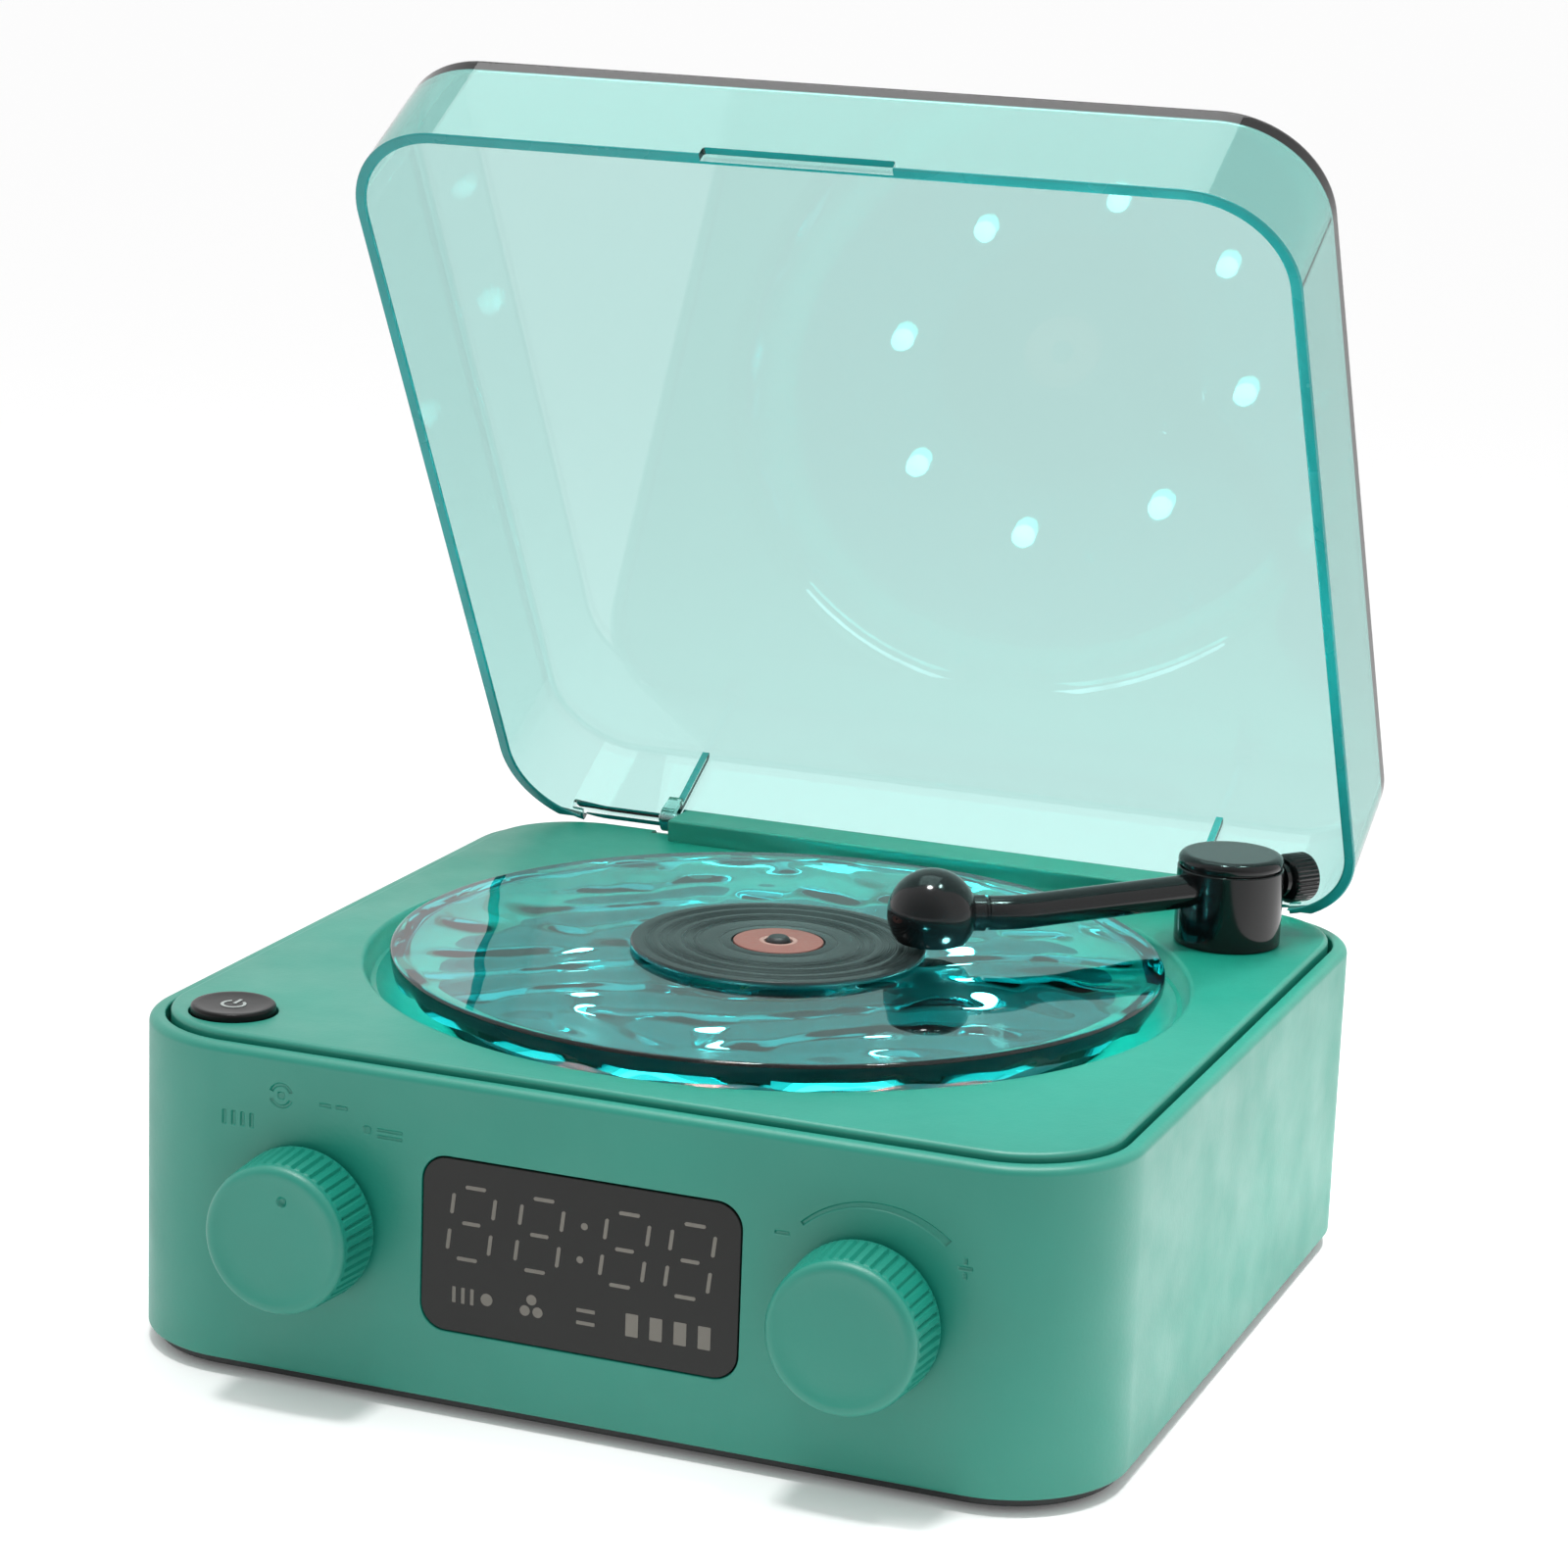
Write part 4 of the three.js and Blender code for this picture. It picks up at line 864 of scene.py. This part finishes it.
LAMP_COUNT = 8
LAMP_RING = 30
LAMP_START = radians(4)
LAMP_R = 1.95
LAMP_RISE = 0.35
LAMP_FOOT = 0.1
STRIP_START = radians(52)
STRIP_END = radians(130)
STRIP_REACH = 56.4
STRIP_R = 0.45
STRIP_Z = 43.3
STRIP_STEPS = 60
STRIP_THIN = 0.27
STRIP_SWELL = 1.53


def make_lamps():
    """Shallow lenses on the lamps of the light board."""
    seat = box_mm("light_board")[1].z + 0.03
    profile = [(LAMP_R, seat), (LAMP_R, seat + LAMP_FOOT)]
    profile += [(LAMP_R * cos(t), seat + LAMP_FOOT + LAMP_RISE * sin(t)) for t in (0.4, 0.8, 1.2, 1.45)]
    lenses = []
    for i in range(LAMP_COUNT):
        a = LAMP_START + 2 * pi * i / LAMP_COUNT
        lenses.append(skin(turned_rings(profile, 24, LAMP_RING * cos(a), AXIS_Y + LAMP_RING * sin(a))))
    piece(raw_object("lamp_domes", *several(lenses)), LAMP, "cabinet")


def make_painted_glow_strip():
    """Painted glow: a glowing strip on the rear wall of the well, standing in for the lamps' light seen
    through the disc's rear edge; it thins out towards its ends.
    """
    section = arc(STRIP_REACH + STRIP_R, 0, STRIP_R, 90, 270, 8)
    rings = []
    for i in range(STRIP_STEPS + 1):
        share = i / STRIP_STEPS
        a = STRIP_START + (STRIP_END - STRIP_START) * share
        tall = STRIP_THIN + STRIP_SWELL * sin(pi * share) ** 0.5
        rings.append([(r * cos(a), AXIS_Y + r * sin(a), STRIP_Z + z * tall) for r, z in section])
    piece(raw_object("painted_glow_strip", *skin(rings)), PAINTED_EDGE_GLOW, "cabinet")


# ---------------- tonearm
POST = centre_mm("tonearm_post")
ARM_TURN = radians(232.2)
ARM_BEND = radians(209 - 232.2)
ARM_STRAIGHT = 38
BEND_REACH = 3.0
HEAD_REACH = 11.7
HEAD_R = 6.4
HEAD_FLAT_Z = 49.1
ARM_Z = 53.4
ARM_R = 2.45
TUBE_SIDES = 48
POST_R = 7.8
POST_TOP = 56.4
KNURLS = 36
WEIGHT_R = 3.65
ARM_PLACE = Matrix.Translation((POST.x, POST.y, 0)) @ Matrix.Rotation(ARM_TURN, 4, "Z")


def tube_rings(stations):
    """Rings round a level line; each station is (x, y, heading, radius)."""
    rings = []
    for x, y, heading, radius in stations:
        ring = []
        for i in range(TUBE_SIDES):
            a = 2 * pi * i / TUBE_SIDES
            across, up = radius * cos(a), radius * sin(a)
            ring.append((x - across * sin(heading), y + across * cos(heading), ARM_Z + up))
        rings.append(ring)
    return rings


def arm_piece(name, part, node, smooth=30):
    points, faces = part
    obj = raw_object(name, moved(points, ARM_PLACE), faces)
    piece(obj, GLOSS_BLACK, "tonearm", [node], smooth)


def along_bend(distance):
    """X and Y of a point past the arm's bend, in the arm's own coordinates."""
    return ARM_STRAIGHT + distance * cos(ARM_BEND), distance * sin(ARM_BEND)


def make_arm_post():
    low = DECK_TOP + 0.05
    post = [(POST_R - 0.8, low), (POST_R - 0.3, low)] + arc(POST_R - 0.3, low + 0.3, 0.3, -90, 0, 3)
    post += arc(POST_R - 0.22, POST_TOP - 0.22, 0.22, 0, 90, 4)
    post += [(POST_R - 0.6, POST_TOP), (POST_R - 0.6, POST_TOP + 0.4)]
    arm_piece("arm_post", skin(turned_rings(post, 96)), "tonearm_post")
    low, high = box_mm("tonearm_cap")
    radius = (high.x - low.x) / 2
    cap = [(radius - 0.6, low.z)] + arc(radius - 0.2, low.z + 0.2, 0.2, -90, 0, 3)
    cap += arc(radius - 1.15, high.z - 1.15, 1.15, 0, 90, 10) + [(radius - 1.6, high.z)]
    arm_piece("arm_post_cap", skin(turned_rings(cap, 96)), "tonearm_cap")


def make_arm_tube():
    start, knee = Vector((ARM_STRAIGHT - BEND_REACH, 0)), Vector((ARM_STRAIGHT, 0))
    end = Vector(along_bend(BEND_REACH))
    stations = [(3.4, 0, 0, ARM_R), (start.x, 0, 0, ARM_R)]
    steps = 14
    for i in range(1, steps + 1):
        t = i / steps
        place = start * (1 - t) ** 2 + knee * 2 * t * (1 - t) + end * t * t
        stations.append((place.x, place.y, ARM_BEND * t, ARM_R))
    collars = [(3.6, 0), (3.7, -0.28), (4.0, -0.28), (4.1, 0), (4.25, 0.14), (5.9, 0.14)]
    collars += [(6.2, -0.1), (7.3, -0.3)]
    stations += [(*along_bend(distance), ARM_BEND, ARM_R + wider) for distance, wider in collars]
    arm_piece("arm_tube", skin(tube_rings(stations)), "tonearm_tube")


def make_arm_head():
    drop = ARM_Z - HEAD_FLAT_Z
    flat_r = sqrt(HEAD_R ** 2 - drop ** 2)
    flat_angle = -asin(drop / HEAD_R) * 180 / pi
    ball = [(1.2, HEAD_FLAT_Z), (flat_r - 0.5, HEAD_FLAT_Z)]
    ball += arc(0, ARM_Z, HEAD_R, flat_angle + 3.5, 88, 36)
    arm_piece("arm_head", skin(turned_rings(ball, 72, *along_bend(HEAD_REACH))), "tonearm_head", smooth=40)


def make_counterweight():
    stations = [(-3.4, 1.4), (-8.6, 1.4), (-8.8, 2.6), (-9.7, 2.6), (-9.75, 3.0), (-10.1, 3.45)]
    stations += [(-10.4, WEIGHT_R), (-13.5, WEIGHT_R), (-13.9, 3.45), (-14.3, 3.0), (-14.5, 2.2)]
    rings = []
    for x, radius in stations:
        cut = 0.16 if radius == WEIGHT_R else 0.0
        ring = []
        for i in range(KNURLS * 4):
            a = 2 * pi * i / (KNURLS * 4)
            r = radius - cut * (i % 4 in (2, 3))
            ring.append((x, r * cos(a), ARM_Z + r * sin(a)))
        rings.append(ring)
    arm_piece("arm_counterweight", skin(rings), "counterweight")


# ---------------- front knobs
KNOB_RIBS = 46
SIDES_PER_RIB = 8
RIB_DEPTH = 0.36
KNOB_FLARE = 0.35
DIMPLE_X = 1.2
DIMPLE_Z = 5.6


def make_knob(name, x, node, dimpled):
    low, high = box_mm(node)
    face, back = low.y, high.y
    radius = (high.z - low.z) / 2
    wide = radius + KNOB_FLARE
    sides = KNOB_RIBS * SIDES_PER_RIB
    # Each station is its Y, its radius and the share of the ribs' depth there.
    stations = [(back, radius - 1.4, 0), (back - 0.45, radius - 1.2, 0), (back - 0.5, wide - 0.4, 0)]
    stations += [(back - 0.7, wide - 0.1, 0), (back - 1.0, wide, 0.5), (back - 1.4, wide, 1)]
    stations += [(face + 1.9, radius, 1), (face + 1.6, radius - 0.02, 0.5), (face + 1.4, radius - 0.1, 0)]
    stations += [(face + z, r, 0) for r, z in arc(radius - 1.32, 1.2, 1.2, 4, -90, 8)]
    stations += [(face + dip, radius - r, 0) for dip, r in [(0.02, 1.7), (0.16, 2.05), (0.18, 4)]]
    rings = []
    for y, r, share in stations:
        ring = []
        for i in range(sides):
            a = 2 * pi * i / sides
            groove = RIB_DEPTH * share * max(0, cos(2 * pi * i / SIDES_PER_RIB)) ** 1.5
            ring.append((x + (r - groove) * cos(a), y, KNOB_Z + (r - groove) * sin(a)))
        rings.append(ring)
    knob = raw_object(name, *skin(rings))
    if dimpled:
        steps = [(-0.5, 0.85), (0.16, 0.8), (0.3, 0.68), (0.62, 0.4), (0.7, 0.15)]
        pit = [
            [(u, face + y, v) for u, v in arc(x + DIMPLE_X, KNOB_Z + DIMPLE_Z, r, 0, 345, 23)]
            for y, r in steps
        ]
        carve(knob, [skin(pit)])
    piece(knob, GREEN, node, [node])


# ---------------- clock display
DIGIT_CENTRES = (-15.3, -5.6, 6.4, 15.5)
DIGIT_MIDDLE = 25.0
DIGIT_HEIGHT = 9.9
DIGIT_HALF = 2.95
DIGIT_SLANT = 0.11
SEGMENT_THICK = 0.52
COLON_X = 0.45
SIGN_ROW = 15.0
BATTERY_X = 7.7
LINES_X = 1.2
TREFOIL_X = -6.5
TREFOIL_R = 1.05
BAND_DOT_X = -12.9
BANDS_X = -17.6


def segment(centre, u, v, half_length, upright):
    """Pointed outline of one display segment about (u, v) from the digit's centre."""
    side = SEGMENT_THICK / 2
    shoulder = half_length - SEGMENT_THICK * 0.35
    level = [(-half_length, 0), (-shoulder, -side), (shoulder, -side), (half_length, 0), (shoulder, side),
             (-shoulder, side)]
    local = [(-b, a) for a, b in level] if upright else level
    return [(centre + u + a + DIGIT_SLANT * (v + b), DIGIT_MIDDLE + v + b) for a, b in local]


def dot(x, z, radius):
    return arc(x, z, radius, 0, 340, 17)


def make_display():
    window = raw_object("display_glass", *skin([
        [(u, y, v) for u, v in outline_at(WINDOW_W, WINDOW_H, WINDOW_CORNER, 0, WINDOW_Z, grow)]
        for y, grow in [(FRONT + 1.8, 0), (FRONT + 0.2, 0), (FRONT + 0.1, -0.06), (FRONT + 0.05, -0.16)]
    ]))
    piece(window, WINDOW, "cabinet", ["display_window"])
    outlines = []
    for centre in DIGIT_CENTRES:
        for v in (-DIGIT_HEIGHT / 2, 0, DIGIT_HEIGHT / 2):
            outlines.append(segment(centre, 0, v, 1.5 if v else 1.35, False))
        for u in (-DIGIT_HALF, DIGIT_HALF):
            for v in (-DIGIT_HEIGHT / 4, DIGIT_HEIGHT / 4):
                outlines.append(segment(centre, u, v, 1.45, True))
    for v in (-2.3, 2.3):
        outlines.append(dot(COLON_X + DIGIT_SLANT * v, DIGIT_MIDDLE + v, 0.48))
    for i in range(4):
        outlines.append(outline_at(1.75, 3.1, 0.12, BATTERY_X + 3.36 * i, SIGN_ROW))
    for i in range(3):
        outlines.append(outline_at(0.5, 2.2, 0.1, BANDS_X + 1.3 * i, SIGN_ROW))
    outlines.append(dot(BAND_DOT_X, SIGN_ROW, 0.85))
    outlines += [dot(x, z, 0.72) for x, z in arc(TREFOIL_X, SIGN_ROW, TREFOIL_R, 90, 330, 2)]
    outlines += [outline_at(2.6, 0.5, 0.1, LINES_X, SIGN_ROW + side * 0.85) for side in (1, -1)]
    signs = [facing_front(outline, FRONT + 0.02, FRONT + 0.1) for outline in outlines]
    piece(raw_object("display_segments", *several(signs)), INK, "cabinet")


# ---------------- power key
KEY_DISH = 0.22
SIGN_THICK = 0.08
SIGN_R = 1.75


def make_key():
    low, high = box_mm("power_key")
    x, y, top = (low.x + high.x) / 2, (low.y + high.y) / 2, high.z
    radius = (high.x - low.x) / 2
    profile = [(1.4, low.z), (2, low.z + 0.5), (2, top - 3), (radius - 0.3, top - 3), (radius, top - 2.7)]
    profile += arc(radius - 0.45, top - 0.45, 0.45, 0, 90, 6)
    profile += [(radius - 1.0, top - 0.02), (radius - 1.5, top - 0.12), (radius - 3, top - 0.2)]
    profile += [(0.5, top - KEY_DISH)]
    key = turned("round_power_key", profile, 72, x, y)
    piece(key, KEY_BLACK, "power_key", ["power_key"])
    z0, z1 = top - KEY_DISH, top - KEY_DISH + SIGN_THICK
    ring = arc(x, y, SIGN_R, 125, 415, 24) + arc(x, y, SIGN_R - 0.45, 415, 125, 24)
    stroke = block(x - 0.24, x + 0.24, y + 0.2, y + 2.3, z0, z1)
    glyph = raw_object("key_sign", *several([prism(ring, z0, z1), stroke]))
    piece(glyph, GLYPH, "power_key")


# ---------------- rear grille and underside
SLOTS_EACH_SIDE = 6
SLOT_PITCH = 4
SLOT_W = 1.9
SLOT_H = 18
BASE_INSET = 1.4
VENTS_EACH_SIDE = 5
VENT_PITCH = 5
VENT_Y = -8


def make_grille():
    plate = raw_object("speaker_grille", *skin([
        [(u, y, v) for u, v in outline_at(GRILLE_W, GRILLE_H, 4, 0, GRILLE_Z, grow)]
        for y, grow in [(REAR - 1.8, 0), (REAR - 0.35, 0), (REAR - 0.1, -0.12), (REAR, -0.4)]
    ]))
    slots = []
    steps = [(1, 0.5), (0, 0.24), (-0.12, 0.08), (-0.3, 0), (-3, 0)]
    for i in range(-SLOTS_EACH_SIDE, SLOTS_EACH_SIDE + 1):
        x = SLOT_PITCH * i
        slots.append(skin([
            [(u, REAR + y, v) for u, v in outline_at(SLOT_W, SLOT_H, 0.94, x, GRILLE_Z, grow)]
            for y, grow in steps
        ]))
    carve(plate, slots)
    piece(plate, BLACK, "cabinet", ["rear_grille"])


CORNERS = ("front_left", "front_right", "rear_left", "rear_right")
FOOT_PLACES = {corner: centre_mm("foot_" + corner) for corner in CORNERS}
SCREW_PLACES = {corner: centre_mm("base_screw_" + corner) for corner in CORNERS}


def make_base():
    low = box_mm("base_plate")[0].z
    profile = [(BASE_INSET + 0.5, low), (BASE_INSET + 0.15, low + 0.12), (BASE_INSET, low + 0.4)]
    profile += [(BASE_INSET, -0.12), (2.5, -0.12), (2.5, 1.5)]
    base = raw_object("base_cover", *skin([cabinet_ring(inset, z, 24) for inset, z in profile]))
    cuts = []
    for place in FOOT_PLACES.values():
        pocket = [(6.6, low - 1), (6.5, low), (6.3, low + 0.2), (6.3, low + 0.8)]
        cuts.append(skin(turned_rings(pocket, 56, place.x, place.y)))
    for place in SCREW_PLACES.values():
        hole = [(3.2, low - 1), (3.0, low), (2.7, low + 0.25), (2.7, 0.6)]
        cuts.append(skin(turned_rings(hole, 40, place.x, place.y)))
    for i in range(-VENTS_EACH_SIDE, VENTS_EACH_SIDE + 1):
        cuts.append(prism(outline_at(1.6, 16, 0.79, VENT_PITCH * i, VENT_Y), low - 1, low + 0.7))
    carve(base, cuts)
    piece(base, BLACK, "cabinet", ["base_plate"])


CROSS_HALF = 1.3
CROSS_THICK = 0.44


def make_feet_and_screws():
    floor_z = box_mm("foot_front_left")[0].z
    for corner, place in FOOT_PLACES.items():
        profile = [(1.0, floor_z + 0.05), (3.4, floor_z + 0.05), (3.6, floor_z), (5.5, floor_z)]
        profile += arc(5.6, floor_z + 0.4, 0.4, -80, 0, 4) + [(6, -0.75), (5.6, -0.65)]
        foot = turned("rubber_foot_" + corner, profile, 56, place.x, place.y)
        piece(foot, RUBBER, "cabinet", ["foot_" + corner])
    for corner, place in SCREW_PLACES.items():
        profile = [(0.8, -1)] + arc(1.9, -0.5, 0.5, -90, 0, 5) + [(2.4, 0.3), (1, 0.3), (1, 8.4), (0.4, 9)]
        screw = turned("cross_screw_" + corner, profile, 36, place.x, place.y)
        for a, b in [(CROSS_HALF, CROSS_THICK / 2), (CROSS_THICK / 2, CROSS_HALF)]:
            carve(screw, [block(place.x - a, place.x + a, place.y - b, place.y + b, -2, -0.35)])
        piece(screw, STEEL, "cabinet", ["base_screw_" + corner])


# ---------------- finishes of the nodes that stay
NODE_MATERIALS = {
    STEEL: ["hinge_pin_left", "hinge_pin_right", "motor", "motor_bracket", "motor_shaft", "tonearm_shaft",
            "mode_selector", "volume_control", "mode_shaft", "volume_shaft", "key_switch", "speaker_frame",
            "usb_port", "card_slot"],
    BRASS: ["spindle_bush", "tonearm_bush", "motor_pinion"],
    NYLON: ["display_module", "platter_gear"],
    BOARD: ["display_board", "key_board", "port_board", "main_board"],
    LIGHT_BOARD: ["light_board"],
    CONE: ["speaker_cone"],
    MAGNET: ["speaker_magnet"],
    FOIL: ["battery"],
}
SOFT_EDGE = 0.15


def finish_nodes():
    for material, names in NODE_MATERIALS.items():
        for name in names:
            node = frame["nodes"][name]
            node.data.materials.clear()
            node.data.materials.append(material)
            edge = node.modifiers.new("soft_edge", "BEVEL")
            edge.width = SOFT_EDGE * MM
            edge.segments = 2
            edge.limit_method = "ANGLE"
            edge.angle_limit = radians(50)


# ---------------- floor and studio light
FLOOR_HALF = 4
FLOOR_GLOW = 0.07
WORLD_DIM = 0.45
WORLD_BRIGHT = 1.04
# Name, place, aim, spread in degrees and watts.
BEAMS = [
    ("beam_right", (0.26, 0.1, 0.9), (0.18, 0.06, 0), 28, 37),
    ("beam_deck", (-0.05, -0.12, 0.95), (0.01, -0.01, 0.05), 20, 23),
    ("beam_left", (-0.35, -0.3, 0.9), (-0.27, -0.28, 0), 32, 35),
]
SOFTBOX_PLACE = (-0.08, 0.13, 0.47)
SOFTBOX_AIM = (-0.08, 0.13, 0)
SOFTBOX_SIDE = 0.28
SOFTBOX_WATTS = 0.53


def make_floor():
    corners = [(u * FLOOR_HALF, v * FLOOR_HALF, 0) for u, v in [(-1, -1), (1, -1), (1, 1), (-1, 1)]]
    mesh = bpy.data.meshes.new("floor")
    mesh.from_pydata(corners, [], [(0, 1, 2, 3)])
    floor = bpy.data.objects.new("floor", mesh)
    scene.collection.objects.link(floor)
    material, _, shader = new_material("floor_paper")
    shader.inputs["Base Color"].default_value = (0.95, 0.95, 0.95, 1)
    shader.inputs["Roughness"].default_value = 0.9
    shader.inputs["Specular IOR Level"].default_value = 0.1
    shader.inputs["Emission Color"].default_value = (1, 1, 1, 1)
    shader.inputs["Emission Strength"].default_value = FLOOR_GLOW
    mesh.materials.append(material)


def make_world():
    """White surroundings, dimmer in front of the object than round and above it."""
    world = bpy.data.worlds.new("studio")
    world.use_nodes = True
    scene.world = world
    tree = world.node_tree
    background = tree.nodes["Background"]
    background.inputs["Color"].default_value = (1, 1, 1, 1)
    place = tree.nodes.new("ShaderNodeTexCoord")
    split = tree.nodes.new("ShaderNodeSeparateXYZ")
    tree.links.new(place.outputs["Generated"], split.inputs["Vector"])
    strength = ranged(tree, split.outputs["Y"], WORLD_DIM, WORLD_BRIGHT, -0.95, -0.25)
    tree.links.new(strength, background.inputs["Strength"])
    scene.view_settings.view_transform = "Standard"
    scene.view_settings.look = "None"


def place_light(name, light, place, aim):
    obj = bpy.data.objects.new(name, light)
    obj.location = place
    obj.rotation_euler = (Vector(aim) - Vector(place)).to_track_quat("-Z", "Y").to_euler()
    scene.collection.objects.link(obj)


def make_lights():
    """One close softbox seen in the lid, and beams on the deck and on the floor at both sides."""
    softbox = bpy.data.lights.new("softbox_top", "AREA")
    softbox.shape = "RECTANGLE"
    softbox.size = softbox.size_y = SOFTBOX_SIDE
    softbox.energy = SOFTBOX_WATTS
    place_light("softbox_top", softbox, SOFTBOX_PLACE, SOFTBOX_AIM)
    for name, place, aim, spread, watts in BEAMS:
        beam = bpy.data.lights.new(name, "SPOT")
        beam.energy = watts
        beam.spot_size = radians(spread)
        beam.spot_blend = 1
        beam.shadow_soft_size = 0.08
        place_light(name, beam, place, aim)


make_camera()
make_shell()
make_deck()
make_hinge_bar()
make_lid()
make_disc()
make_record()
make_label()
make_spindle()
make_lamps()
make_painted_glow_strip()
make_arm_post()
make_arm_tube()
make_arm_head()
make_counterweight()
make_knob("mode_dial", -KNOB_X, "mode_knob", dimpled=True)
make_knob("volume_dial", KNOB_X, "volume_knob", dimpled=False)
make_display()
make_key()
make_grille()
make_base()
make_feet_and_screws()
finish_nodes()
make_floor()
make_world()
make_lights()

bpy.context.view_layer.update()
